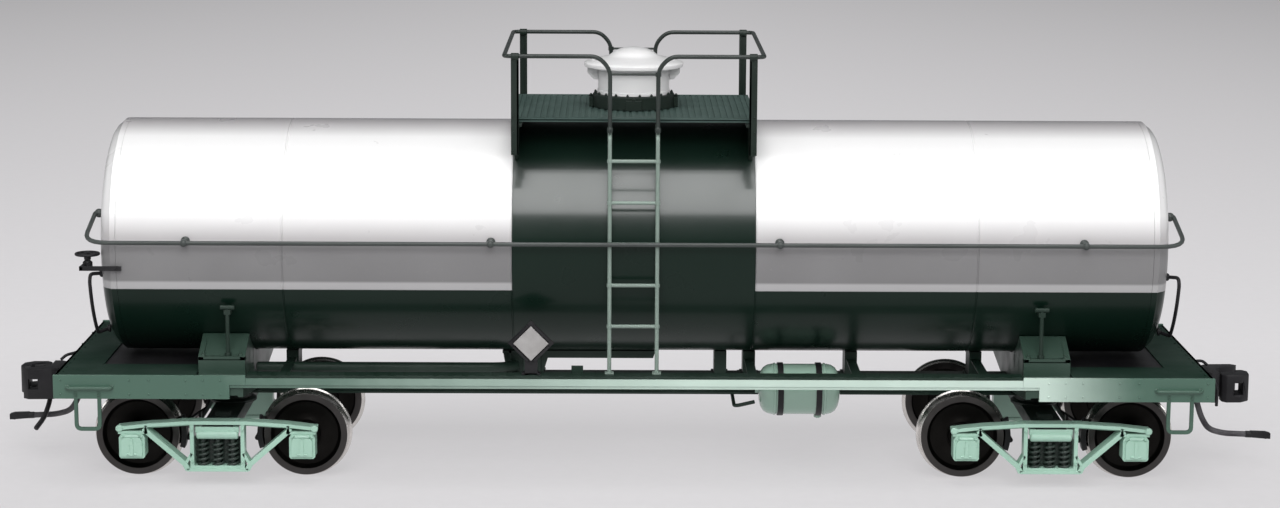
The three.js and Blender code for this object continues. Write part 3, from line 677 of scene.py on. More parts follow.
def side_sill(side, turned):
    """Flat bar with deep ends, a set-back lower lip, steps, end grab irons and rivets."""
    face, back = SILL_FACE, SILL_FACE + 0.7
    bottom, deep, step = 20.8, 18.5, 82.6
    bar = Shape(turned=turned)
    board_end = step - 3.3
    bar.box(-board_end, board_end, face, back, bottom + 0.62, SILL_TOP - 0.5)
    bar.box(-step, step, face + 0.3, back, bottom, bottom + 0.7)
    for way in (-1, 1):
        outline = [
            (way * step, deep), (way * BODY_END, deep), (way * BODY_END, SILL_TOP),
            (way * board_end, SILL_TOP), (way * board_end, bottom + 0.62), (way * step, bottom + 0.62),
        ]
        bar.plate(outline, face, back)
    bar.box(-step + 0.3, step - 0.3, back - 0.1, back + 1.3, bottom, bottom + 0.45)
    for way in (-1, 1):
        rivets = [(way * x, face, z) for x in (84.5, 88, 91.5, 99, 103, 117) for z in (19.5, 22.4)]
        bar.studs(rivets, 0.24, -0.2, "y")
    bar.finish(f"sill_bar_{side}", "pale_green", nodes=[f"side_sill_{side}"], bevel=0.1, paint=SILL_PAINT)

    irons = Shape(turned=turned)
    for way in (-1, 1):
        inner, outer, low = way * 109.175, way * 113.925, 12.175
        drop = [(inner, deep + 1.6), (inner, low), (outer, low), (outer, deep + 1.6)]
        bent = [(p.x, p.y) for p in rounded([(a, b, 0) for a, b in drop], 1.1, 5)]
        irons.plate(strip(bent, 0.75), face - 0.02, face + 0.6)
        irons.nuts([(inner, face - 0.02, 19.3), (outer, face - 0.02, 19.3)], 0.32, -0.25, "y")
        iron = [
            (way * 106.6, back, 20.9), (way * 106.6, face - 1, 20.9),
            (way * 115.6, face - 1, 20.9), (way * 115.6, back, 20.9),
        ]
        irons.tube(iron, 0.34, 0.7, 10)
        feet = [(way * 106.6, face, 20.9), (way * 115.6, face, 20.9)]
        irons.studs(feet, 0.55, -0.22, "y", 12)
    irons.finish(f"sill_steps_and_irons_{side}", "pale_green", bevel=0.08)

    board = Shape(turned=turned)
    board.box(-79.28, 79.28, face - 0.04, -24.6, SILL_TOP - 0.5, SILL_TOP)
    board.box(-79.3, 79.3, -25.1, -24.6, SILL_TOP - 1.5, SILL_TOP - 0.3)
    for k in range(53):
        x = -78 + 3 * k
        board.box(x - 0.9, x + 0.9, -28.2, -25.0, SILL_TOP - 0.1, SILL_TOP + 0.1)
    board.box(-13.0, -10.6, -25.4, -24.6, SILL_TOP, SILL_TOP + 1.5)
    board.finish(f"running_board_{side}", "body_green", bevel=0.06)


def end_platform(end, turned):
    low, high, _ = span("end_platform_right")
    half = high.y
    deck = Shape(turned=turned)
    well_x, well_y = 110.2, 16.5
    deck.box(low.x, BODY_END, -half, half, high.z - 0.6, high.z - 0.35)
    deck.box(well_x, BODY_END, -half, half, high.z - 0.4, high.z)
    for way in (-1, 1):
        y0, y1 = sorted((way * well_y, way * half))
        deck.box(low.x, well_x + 0.1, y0, y1, high.z - 0.4, high.z)
    sill = [
        (-half, low.z), (-4.6, low.z), (-4.6, 20.8), (4.6, 20.8), (4.6, low.z), (half, low.z),
        (half, high.z), (-half, high.z),
    ]
    deck.plate(sill, BODY_END - 0.7, BODY_END, "x")
    for way in (-1, 1):
        inner, outer = sorted((way * 4.6, way * half))
        deck.box(BODY_END - 2.0, BODY_END - 0.1, inner, outer, low.z, low.z + 0.5)
        deck.box(BODY_END - 12, BODY_END - 0.5, way * 14 - 0.3, way * 14 + 0.3, 19.8, 22.8)
        pocket = [(0.5, 0), (1.5, 0), (1.5, 0.55), (1.2, 0.7), (0.75, 0.7), (0.6, 0.2)]
        deck.turn(pocket, (BODY_END - 0.05, way * 23.8, 20.6), "x", 20)
    edge_rows = [(x, way * (half - 0.8), high.z) for x in range(92, 118, 4) for way in (-1, 1)]
    edge_rows += [(BODY_END - 1.2, y, high.z) for y in range(-24, 25, 4)]
    deck.studs(edge_rows, 0.26, 0.2)
    face_rows = [(BODY_END, y, z) for y in (-26.4, -20.5, -15, -9, 9, 15, 20.5, 26.4) for z in (19.3, 22.3)]
    deck.studs(face_rows, 0.26, 0.22, "x")
    name = f"end_platform_{end}"
    deck.finish(f"end_deck_{end}", "body_green", nodes=[name], bevel=0.1, paint=END_PAINT)

    # painted shade: a black sheet in the deck's recess under the tank stands for the darkness there
    well = Shape(turned=turned)
    well.box(low.x + 0.1, well_x - 0.05, 0.05 - well_y, well_y - 0.05, high.z - 0.4, high.z - 0.3)
    well.finish(f"deck_shade_sheet_{end}", "black_metal")

    lever = Shape(turned=turned)
    rod = [
        (119.4, -26.2, 17.2), (119.4, -26.2, 21.4), (119.4, -9, 21.4), (119.4, -2.5, 21.6),
        (121.5, -1.0, 21.3), (122.6, -0.6, 20.3),
    ]
    lever.tube(rod, 0.32, 1.2, 10)
    for y in (-22.5, -10.5):
        lever.box(118.45, 119.9, y - 0.35, y + 0.35, 20.9, 21.9)
    lever.finish(f"uncoupling_rod_{end}", "black_metal", bevel=0.08)


def bolster(end, turned):
    """Body bolster: two flanges, a web and a saddle with ribs; a strap bolt stands on each side."""
    low, high, middle = span("bolster_right")
    half = high.y
    inner, notch = 4.05, CENTRE_SILL_TOP + 0.05

    def section(top, bottom_lift):
        cradle = [
            (y, z) for y, z in (
                (CRADLE_R * math.sin(a), TANK_Z - CRADLE_R * math.cos(a))
                for a in (math.radians(42 - 84 * k / 40) for k in range(41))
            )
        ]
        return [
            (-half, 18.8 + bottom_lift), (-inner, 15.4 + bottom_lift), (-inner, notch),
            (inner, notch), (inner, 15.4 + bottom_lift), (half, 18.8 + bottom_lift),
            (half, 22.7), (24, 22.7), (24, top), *cradle, (-24, top), (-24, 22.7), (-half, 22.7),
        ]

    frame_part = Shape(turned=turned)
    top = 26.4
    frame_part.plate(section(top, 0), low.x, low.x + 1.1, "x")
    frame_part.plate(section(top, 0), high.x - 1.1, high.x, "x")
    frame_part.plate(section(top - 0.5, 0.3), middle.x - 3.8, middle.x + 3.8, "x")
    for way in (-1, 1):
        for y in (23.1, 17.0, 10.5):
            under_tank = TANK_Z - math.sqrt(CRADLE_R**2 - y**2)
            frame_part.box(
                low.x, high.x, way * y - 0.35, way * y + 0.35, 20.9, min(top, under_tank + 0.2)
            )
        y0, y1 = sorted((way * 22.4, way * 24.0))
        frame_part.box(low.x, high.x, y0, y1, top - 0.8, top)
        bolts = [(x, way * 23.2, top) for x in (low.x + 1.0, high.x - 1.0)]
        frame_part.nuts(bolts, 0.55, 0.5)
    frame_part.finish(
        f"bolster_saddle_{end}", "pale_green", nodes=[f"bolster_{end}"], bevel=0.14, paint=SADDLE_LIT_PAINT
    )

    strap = Shape(turned=turned)
    for way in (-1, 1):
        x = low.x + 3.6
        strap.tube([(x, way * 23.0, top - 0.3), (x, way * 23.0, 36.2)], 0.42, 0, 12)
        strap.tube([(x - 1.5, way * 23.0, 36.5), (x + 1.5, way * 23.0, 36.5)], 0.5, 0, 12)
        strap.box(x - 0.7, x + 0.7, *sorted((way * 20.9, way * 23.4)), 35.0, 36.0)
        strap.nuts([(x, way * 23.0, top)], 0.75, 0.7)
    strap.finish(f"saddle_strap_bolts_{end}", "body_green", bevel=0.08)


# ---------------------------------------------------------------- brake gear
def brake_gear():
    low, high, _ = span("air_reservoir")
    radius = 5.3
    left, right = low.x, high.x
    axis_y, axis_z = -12.2, 17.4
    tank_shape = Shape()
    profile = [
        (0, left), (2.2, left + 0.12), (3.7, left + 0.5), (4.6, left + 1.1), (5.1, left + 1.9),
        (radius, left + 2.8), (radius, left + 3.1), (radius + 0.18, left + 3.2),
        (radius + 0.18, left + 3.6), (radius, left + 3.7), (radius, right - 3.7),
        (radius + 0.18, right - 3.6), (radius + 0.18, right - 3.2), (radius, right - 3.1),
        (radius, right - 2.8), (5.1, right - 1.9), (4.6, right - 1.1), (3.7, right - 0.5),
        (2.2, right - 0.12), (0, right),
    ]
    tank_shape.turn(profile, (0, axis_y, axis_z), "x", 64)
    tank_shape.box(33, 36, axis_y + 4, -4.05, 16.4, 18.4)
    tank_shape.turn([(0.9, -0.4), (0.9, 0.9), (0.6, 0.9), (0.6, 1.3)], (left - 0.2, axis_y, axis_z), "x", 6)
    tank_shape.turn([(0.8, 0), (0.8, -0.7), (0.4, -0.9)], (38.5, axis_y, axis_z - radius), "z", 6)
    tank_shape.finish(
        "reservoir_tank", "body_green", nodes=["air_reservoir"], bevel=0.06, paint=RESERVOIR_HIGHLIGHT_PAINT
    )

    straps = Shape()
    for x in (left + 4.6, right - 4.6):
        band = [(radius, x - 0.6), (radius + 0.28, x - 0.6), (radius + 0.28, x + 0.6), (radius, x + 0.6)]
        straps.turn(band, (0, axis_y, axis_z), "x", 64, hollow=True)
        straps.box(x - 0.6, x + 0.6, axis_y + 4.8, -3.4, 16.6, 17.4)
        straps.nuts([(x, -5.4, 17.4)], 0.4, 0.35)
    straps.finish("reservoir_straps", "black_metal", bevel=0.06)

    pipes = Shape()
    pipes.tube([(left - 0.6, axis_y, 14.6), (21, axis_y, 13.6), (21, 11, 13.4), (22.8, 11, 13.4)], 0.4, 1.6)
    pipes.tube([(-18, 7.2, 13.4), (20, 7.2, 13.4), (23.5, 9.6, 13.0)], 0.4, 1.6)
    pipes.tube([(-79.6, -8.5, 21.0), (-28.5, -8.5, 21.0), (-25, -3.6, 20.3)], 1.05, 2.0)
    pipes.finish("brake_pipes", "body_green")

    cylinder = Shape()
    cy, cz = 11, 13.7
    profile = [
        (0, -43), (1.0, -42.9), (1.6, -42.7), (1.9, -42.3), (2.0, -41.9), (2.0, -30.1), (2.3, -30),
        (2.3, -29), (1.8, -28.9), (0.9, -28), (0.6, -27.8), (0.6, -18), (0, -18),
    ]
    cylinder.turn(profile, (0, cy, cz), "x", 40)
    ears = [(2.15 * math.cos(a), 2.15 * math.sin(a)) for a in (math.pi * k / 4 for k in range(8))]
    cylinder.nuts([(-29.1, cy + a, cz + b) for a, b in ears], 0.25, 0.25, "x")
    cylinder.box(-19.2, -17.8, 4.5, 14.5, cz - 0.5, cz + 0.5)
    cylinder.box(-40, -37, 4.05, 10, 14.6, 15.4)
    cylinder.tube([(-18.5, 4.9, cz), (-66, 4.9, 13.4)], 0.35)
    cylinder.tube([(-18.5, 14.2, cz), (66, 5.6, 13.4)], 0.35)
    cylinder.studs([(-18.5, 4.9, cz + 0.5), (-18.5, 14.2, cz + 0.5), (-18.5, 11, cz + 0.5)], 0.45, 0.3)
    cylinder.finish("cylinder_and_levers", "body_green", nodes=["brake_cylinder"], bevel=0.08)

    valve = Shape()
    valve.box(22.6, 27.2, 9.5, 14.5, 11.6, 15.6)
    cap = [(1.5, 0), (1.5, 2.2), (1.2, 2.8), (0.7, 3.0), (0, 3.1)]
    valve.turn([(1.5, -0.3), *cap], (26.9, 12, 13.6), "x", 28)
    valve.turn([(a, -b) for a, b in [(1.5, -0.3), *cap]], (22.9, 12, 13.6), "x", 28)
    ring = [(1.9 * math.cos(a), 1.9 * math.sin(a)) for a in (math.pi * (k + 0.5) / 2 for k in range(4))]
    valve.nuts([(27.2, 12 + a, 13.6 + b) for a, b in ring], 0.25, 0.25, "x")
    valve.box(24, 26, 4.05, 10, 14.5, 15.4)
    valve.finish("control_valve_body", "black_metal", nodes=["control_valve"], bevel=0.14)

    hx, hy, _ = span("brake_wheel")[2]
    top = span("brake_wheel")[1].z
    hand = Shape()
    rim = arc((2.3, top - 0.4), 0.3, 0, 330, 11)
    hand.turn(rim, (hx, hy, 0), "z", 40, hollow=True)
    hand.turn([(0.7, top - 1.55), (0.75, top - 0.2), (0.45, top), (0, top)], (hx, hy, 0), "z", 20)
    for k in range(5):
        a = 2 * math.pi * k / 5 + 0.3
        tip = (hx + 2.25 * math.cos(a), hy + 2.25 * math.sin(a), top - 0.35)
        hand.tube([(hx, hy, top - 0.6), tip], 0.16, 0, 8)
    hand.finish("hand_wheel", "black_metal", nodes=["brake_wheel"], smooth=50)

    low, high, _ = span("brake_bracket")
    mount = Shape()
    mount.turn([(0.55, 44.3), (1.0, 44.4), (1.0, 45.4), (0.6, 45.8), (0, 45.85)], (hx, hy, 0), "z", 24)
    mount.box(low.x + 0.1, high.x, low.y + 0.3, low.y + 0.9, 44.4, 45.3)
    mount.box(low.x + 0.1, low.x + 0.8, low.y + 0.3, hy, 44.5, 45.2)
    mount.nuts([(high.x - 1.0, low.y + 0.3, 44.85)], 0.3, -0.25, "y")
    mount.finish("hand_wheel_bracket", "black_metal", nodes=["brake_bracket"], bevel=0.1)


# ---------------------------------------------------------------- rails, grab irons, placards
def handrail(side, turned):
    low, high, _ = span("handrail_near")
    y, z, corner_x, foot_x = low.y + 0.5, HANDRAIL_Z, high.x - 0.5, HEAD_END - 0.35
    rail = Shape(turned=turned)

    def half(way):
        return [
            (way * foot_x, -12.5, 54.4), (way * corner_x, -12.5, 54.4),
            (way * corner_x, y, z),
        ]

    rail.tube([*half(-1), *reversed(half(1))], 0.46, 5.0, 12)
    ball = [(0.95 * math.sin(a), -0.95 * math.cos(a)) for a in (math.pi * k / 8 for k in range(9))]
    ball[0], ball[-1] = (0, ball[0][1]), (0, ball[-1][1])
    surface = -math.sqrt(TANK_R**2 - (z - TANK_Z) ** 2)
    for x in (-91.5, -29.4, 29.4, 91.5):
        rail.turn([(r * 0.85, t * 0.85) for r, t in ball], (x, y, z), "x", 16)
        post = [
            (0.42, y), (0.36, surface - 0.6), (0.5, surface - 0.35), (0.95, surface - 0.2),
            (0.95, surface + 0.1),
        ]
        rail.turn(post, (x, 0, z), "y", 16)
    for way in (-1, 1):
        rail.turn(ball, (way * (foot_x + 0.95), -12.8, 54.3), "x", 16)
    rail.finish(f"rail_{side}", "rail_paint", nodes=[f"handrail_{side}"], smooth=45)


def grab_iron(side, end, way, turned):
    radius, rim_x, foot = TANK_R - 0.4, 111.4, TANK_END + 3.7
    line = []
    for k in range(13):
        a = math.radians(-78 + 38 * k / 12)
        line.append((way * rim_x, radius * math.sin(a), TANK_Z - radius * math.cos(a)))
    first, last = line[0], line[-1]
    start = [(way * foot, first[1] + 3.2, first[2]), (way * rim_x, first[1] + 1.2, first[2] + 0.2)]
    end_foot = (way * (foot + 0.1), last[1] + 2.6, last[2] + 0.4)
    iron = Shape(turned=turned)
    iron.tube([*start, *line[1:], end_foot], 0.38, 0.8, 12)
    for p in (start[0], end_foot):
        iron.studs([(p[0] - way * 0.1, p[1], p[2])], 0.8, way * 0.5, "x", 14)
    name = f"grab_iron_{side}_{end}"
    iron.finish(f"corner_iron_{side}_{end}", "black_metal", nodes=[name], smooth=45)


def placard(side, turned):
    low, high, middle = span("placard_near")
    x, z = middle.x, high.z - 4.7

    def diamond(half):
        return [(x, z - half), (x + half, z), (x, z + half), (x - half, z)]

    face = Shape(turned=turned)
    face.plate(diamond(3.6), low.y, low.y + 0.5)
    face.finish(f"placard_board_{side}", "placard_grey", nodes=[f"placard_{side}"], bevel=0.1)

    holder = Shape(turned=turned)
    holder.plate(diamond(4.7), low.y + 0.5, high.y, holes=[diamond(2.6)])
    for a, b in zip(diamond(4.25), diamond(4.25)[1:] + diamond(4.25)[:1]):
        pa = (a[0] * 0.85 + b[0] * 0.15, a[1] * 0.85 + b[1] * 0.15)
        pb = (a[0] * 0.15 + b[0] * 0.85, a[1] * 0.15 + b[1] * 0.85)
        holder.plate(strip([pa, pb], 0.45), low.y, low.y + 0.6)
    holder.box(x - 1.3, x + 1.3, high.y - 0.6, high.y, SILL_TOP, z)
    holder.box(x - 1.9, x + 1.9, high.y - 0.6, high.y + 1.2, SILL_TOP, SILL_TOP + 0.4)
    holder.nuts([(x - 1.2, high.y + 0.6, SILL_TOP + 0.4), (x + 1.2, high.y + 0.6, SILL_TOP + 0.4)], 0.35, 0.3)
    holder.finish(f"placard_bracket_{side}", "black_metal", bevel=0.08)


# ---------------------------------------------------------------- platform, ladders, dome
POST_X = 24.0
LADDER_X = 4.85
LADDER_Y = 25.8


def platform():
    half_x = (DECK_HIGH.x - DECK_LOW.x) / 2
    half_y = DECK_HIGH.y
    at = (TOP_X, 0, 0)
    deck = Shape(at)
    top, under = DECK_HIGH.z, DECK_LOW.z
    deck.box(-half_x, half_x, -half_y, half_y, under + 0.25, top - 0.22)
    for way in (-1, 1):
        x0, x1 = sorted((way * half_x, way * (half_x - 0.9)))
        deck.box(x0, x1, -half_y, half_y, under, top)
        y0, y1 = sorted((way * half_y, way * (half_y - 0.9)))
        deck.box(-half_x, half_x, y0, y1, under, top)
    ribs = 37
    pitch = (2 * half_x - 1.8) / ribs
    for k in range(ribs):
        x = -half_x + 0.9 + pitch * (k + 0.5)
        deck.box(x - pitch * 0.3, x + pitch * 0.3, -half_y + 0.6, half_y - 0.6, top - 0.4, top)
    deck.finish("deck_grating", "rail_paint", nodes=["platform_deck"], bevel=0.05, paint=DECK_PAINT)

    for end, turned in (("right", False), ("left", True)):
        frame_part = Shape(at, turned)
        reach = CRADLE_R
        saddle = []
        for k in range(29):
            a = math.radians(180 - 42 + 84 * k / 28)
            saddle.append((reach * math.sin(a), TANK_Z - reach * math.cos(a)))
        base = under - 0.05
        web = [
            (-24.9, base), (-24.9, 68.6), (-24.0, 68.6), (-19.2, 70.2), *reversed(saddle),
            (19.2, 70.2), (24.0, 68.6), (24.9, 68.6), (24.9, base),
        ]
        frame_part.plate(web, POST_X - 0.4, POST_X + 0.4, "x")
        frame_part.box(POST_X - 1.3, POST_X + 0.4, -24.9, 24.9, base - 0.5, base)
        for way in (-1, 1):
            y0, y1 = sorted((way * 25.1, way * 25.95))
            frame_part.box(POST_X - 0.8, POST_X - 0.3, y0, y1, 68.6, 87.9)
            frame_part.box(POST_X - 0.8, POST_X + 0.8, *sorted((way * 25.55, way * 25.95)), 68.6, 87.9)
            frame_part.box(POST_X - 0.8, POST_X + 0.8, *sorted((way * 24.7, way * 25.6)), 68.6, 70.2)
            heads = [(POST_X + 0.3, way * 25.95, z) for z in (69.4, 73.2, 76.4)]
            frame_part.studs(heads, 0.26, way * 0.2, "y")
            clamp = [(0.75, -0.8), (0.75, 0.8)]
            frame_part.turn(clamp, (POST_X, way * 25.5, RAIL_TOP - 0.1), "x", 16)
        name = f"platform_support_{end}"
        frame_part.finish(
            f"platform_frame_{end}", "body_green", nodes=[name], bevel=0.1, paint=DOME_PAINT
        )

        rail = Shape(at, turned)
        foot, corner, low = LADDER_X, half_x + 1.2, DECK_HIGH.z - 2.3
        y = 25.5
        path = [
            (foot, -y, low), (foot, -y, RAIL_TOP - 2.6), (foot + 2.4, -y, RAIL_TOP),
            (corner, -y, RAIL_TOP), (corner, y, RAIL_TOP), (foot + 2.4, y, RAIL_TOP),
            (foot, y, RAIL_TOP - 2.6), (foot, y, low),
        ]
        rail.tube(path, 0.44, 1.6, 14)
        for way in (-1, 1):
            rail.turn([(0.62, low), (0.62, low + 0.9), (0.46, low + 1.1)], (foot, way * y, 0), "z", 14)
        gate_z = 85.0
        rail.tube([(foot, -y, gate_z), (-foot, -y, gate_z)], 0.24, 0, 10)
        rail.turn([(0.6, gate_z - 0.4), (0.6, gate_z + 0.4)], (foot, -y, 0), "z", 14)
        name = f"platform_rail_{end}"
        rail.finish(f"guard_rail_{end}", "rail_paint", nodes=[name], smooth=45, paint=UPPER_RAIL_PAINT)


def ladder(side, turned):
    low = span("ladder_near")[0]
    steps = Shape((TOP_X, 0, 0), turned)
    for way in (-1, 1):
        x = way * LADDER_X
        stile = [(x, -LADDER_Y, low.z), (x, -LADDER_Y, 72.2), (x, -DECK_HIGH.y - 0.4, 74.3)]
        steps.tube(stile, 0.43, 0.8, 12)
        steps.box(x - 0.9, x + 0.9, -LADDER_Y - 0.7, -LADDER_Y + 0.9, low.z, low.z + 0.35)
        for z in (40.0, 57.0):
            reach = -math.sqrt(TANK_R**2 - (z - TANK_Z) ** 2)
            steps.tube([(x, -LADDER_Y, z), (x, reach, z)], 0.32, 0, 8)
    for rung in range(5):
        z = 33.4 + 8.5 * rung
        steps.tube([(-LADDER_X, -LADDER_Y, z), (LADDER_X, -LADDER_Y, z)], 0.38, 0, 12)
        collars = [(way * LADDER_X, -LADDER_Y, z) for way in (-1, 1)]
        for p in collars:
            steps.turn([(0.55, -0.35), (0.58, 0), (0.55, 0.35)], p, "z", 14)
    name = f"ladder_{side}"
    steps.finish(f"ladder_steps_{side}", "rail_paint", nodes=[name], smooth=45, paint=LADDER_PAINT)


def dome():
    at = (TOP_X, 0, 0)
    low, high, _ = span("dome_base")
    base = Shape(at)
    base.turn([(8.6, low.z), (8.6, high.z - 0.2), (8.4, high.z), (0, high.z)], steps=72)
    lug_top = high.z - 0.7
    for k in range(4):
        a = math.pi / 2 * k
        c, s = math.cos(a), math.sin(a)
        corners = [(8.0, -1.6), (9.3, -1.6), (9.3, 1.6), (8.0, 1.6)]
        base.plate([(c * u - s * v, s * u + c * v) for u, v in corners], low.z, lug_top, "z")
        base.nuts([(c * 8.95, s * 8.95, lug_top)], 0.4, 0.4)
    around = [2 * math.pi * (k + 0.5) / 20 for k in range(20)]
    base.nuts([(8.12 * math.cos(a), 8.12 * math.sin(a), high.z) for a in around], 0.3, 0.35)
    base.finish("manway_flange", "body_green", nodes=["dome_base"], bevel=0.08, paint=DOME_PAINT)

    low, high, _ = span("dome_housing")
    wall = Shape(at)
    profile = [
        (6.9, low.z), (7.7, low.z), (7.7, low.z + 0.6), (7.5, low.z + 0.75), (7.5, high.z - 0.7),
        (7.7, high.z - 0.55), (7.7, high.z), (6.9, high.z),
    ]
    wall.turn(profile, steps=96, hollow=True)
    for k in range(12):
        a = 2 * math.pi * k / 12
        wall.studs([(7.4 * math.cos(a), 7.4 * math.sin(a), low.z + 0.72)], 0.22, 0.2)
    for way in (-1, 1):
        ear = [(way * 7.5, high.z - 2.6), (way * 8.3, high.z - 2.6), (way * 9.7, high.z - 1.2)]
        ear += [(way * 9.7, high.z), (way * 7.5, high.z)]
        wall.plate(ear, -0.9, 0.9)
    hinge = [(0.5, -1.1), (0.5, 1.1)]
    wall.turn(hinge, (0, 8.0, high.z - 0.5), "x", 14)
    wall.finish("housing_wall", "tank_white", nodes=["dome_housing"], smooth=40)

    low, high, _ = span("dome_lid")
    lid = Shape(at)
    profile = [
        (0, low.z), (9.9, low.z), (10.3, low.z + 0.12), (10.4, low.z + 0.4), (10.4, low.z + 0.85),
        (10.2, low.z + 1.05), (9.4, low.z + 1.3), (8.6, low.z + 1.55), (7.2, low.z + 1.9),
        (5.9, low.z + 2.2), (5.2, low.z + 2.4), (4.7, low.z + 2.75), (4.3, low.z + 3.1),
        (3.8, low.z + 3.4), (2.9, low.z + 3.75), (1.7, high.z - 0.12), (0.8, high.z - 0.02), (0, high.z),
    ]
    lid.turn(profile, steps=96)
    lid.turn([(0.6, low.z + 1.2), (0.6, low.z + 2.1), (0, low.z + 2.3)], (8.2, 0, 0), "z", 12)
    lid.turn([(0.6, low.z + 1.2), (0.6, low.z + 2.1), (0, low.z + 2.3)], (-8.2, 0, 0), "z", 12)
    lid.finish("bonnet_lid", "tank_white", nodes=["dome_lid"], smooth=36)


# ---------------------------------------------------------------- couplers and hoses
def dress(node, slot, bevel):
    """A CAD node that keeps its own shape, with rounded edges and its finish."""
    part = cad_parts[node]
    weld = part.modifiers.new("weld", "WELD")
    weld.merge_threshold = 1e-6
    edge = part.modifiers.new("rounded_edges", "BEVEL")
    edge.width = bevel * MM
    edge.segments = 2
    edge.angle_limit = math.radians(30)
    part.data.materials.clear()
    part.data.materials.append(PAINTS[slot])
    part.data.shade_smooth()


def hose(end, turned):
    """Stiff cast air hose with its angle cock and coupling head."""
    high = span("air_hose_right")[1]
    y = -7.0
    line = [
        (118.1, y, 18.4), (118.8, y, 15.4), (120.4, y, 10.4), (122, y, 7.8), (125.2, y, 6.9), (132.8, y, 6.6),
    ]
    rubber_part = Shape(turned=turned)
    rubber_part.tube(line, 0.62, 2.4, 16)
    rubber_part.finish(f"hose_{end}", "hose_black", nodes=[f"air_hose_{end}"], smooth=45)

    fittings = Shape(turned=turned)
    fittings.turn([(0.95, -1.1), (0.95, 0.9), (0.7, 1.1)], (118.3, y, 17.7), "z", 16)
    fittings.tube([(118.28, y, 17.6), (118.68, y, 15.9)], 0.85, 0, 14)
    fittings.tube([(118.2, y - 1.0, 17.7), (118.2, y + 1.0, 17.7)], 0.5, 0, 12)
    fittings.tube([(129.8, y, 6.72), (131.4, y, 6.66)], 0.72, 0, 16)
    head = [(131.0, 6.1), (134.0, 5.85), (high.x, 5.8), (high.x, 7.0), (134.2, 7.3), (131.0, 7.4)]
    fittings.plate(head, y - 0.65, y + 0.65)
    fittings.turn([(0.7, -0.75), (0.7, 0.75)], (134.2, y, 6.5), "y", 16)
    fittings.finish(f"hose_fittings_{end}", "black_metal", bevel=0.14)


def couplers(end, turned):
    for node, slot, bevel in (
        (f"draft_box_{end}", "body_green", 0.18),
        (f"coupler_{end}", "black_metal", 0.22),
        (f"knuckle_{end}", "black_metal", 0.25),
    ):
        dress(node, slot, bevel)
    cover = Shape(turned=turned)
    low = span("draft_box_right")[0]
    bolts = [(x, y, low.z) for x in (104.5, 110.5, 117.5) for y in (-3.4, 3.4)]
    cover.box(103.2, 119.6, -3.0, 3.0, low.z - 0.25, low.z + 0.1)
    cover.nuts([(104.6, 0, low.z - 0.25), (118.2, 0, low.z - 0.25)], 0.5, -0.4)
    cover.studs(bolts, 0.3, -0.22)
    cover.finish(f"draft_box_cover_{end}", "body_green", bevel=0.08)
    hose(end, turned)


# ---------------------------------------------------------------- trucks
def spring(shape, centre, radius, wire, low, high, turns=5):
    steps = turns * 12
    path = []
    for k in range(steps + 1):
        a = 2 * math.pi * turns * k / steps
        z = low + (high - low) * k / steps
        path.append((centre[0] + radius * math.cos(a), centre[1] + radius * math.sin(a), z))
    shape.tube(path, wire, 0, 7)


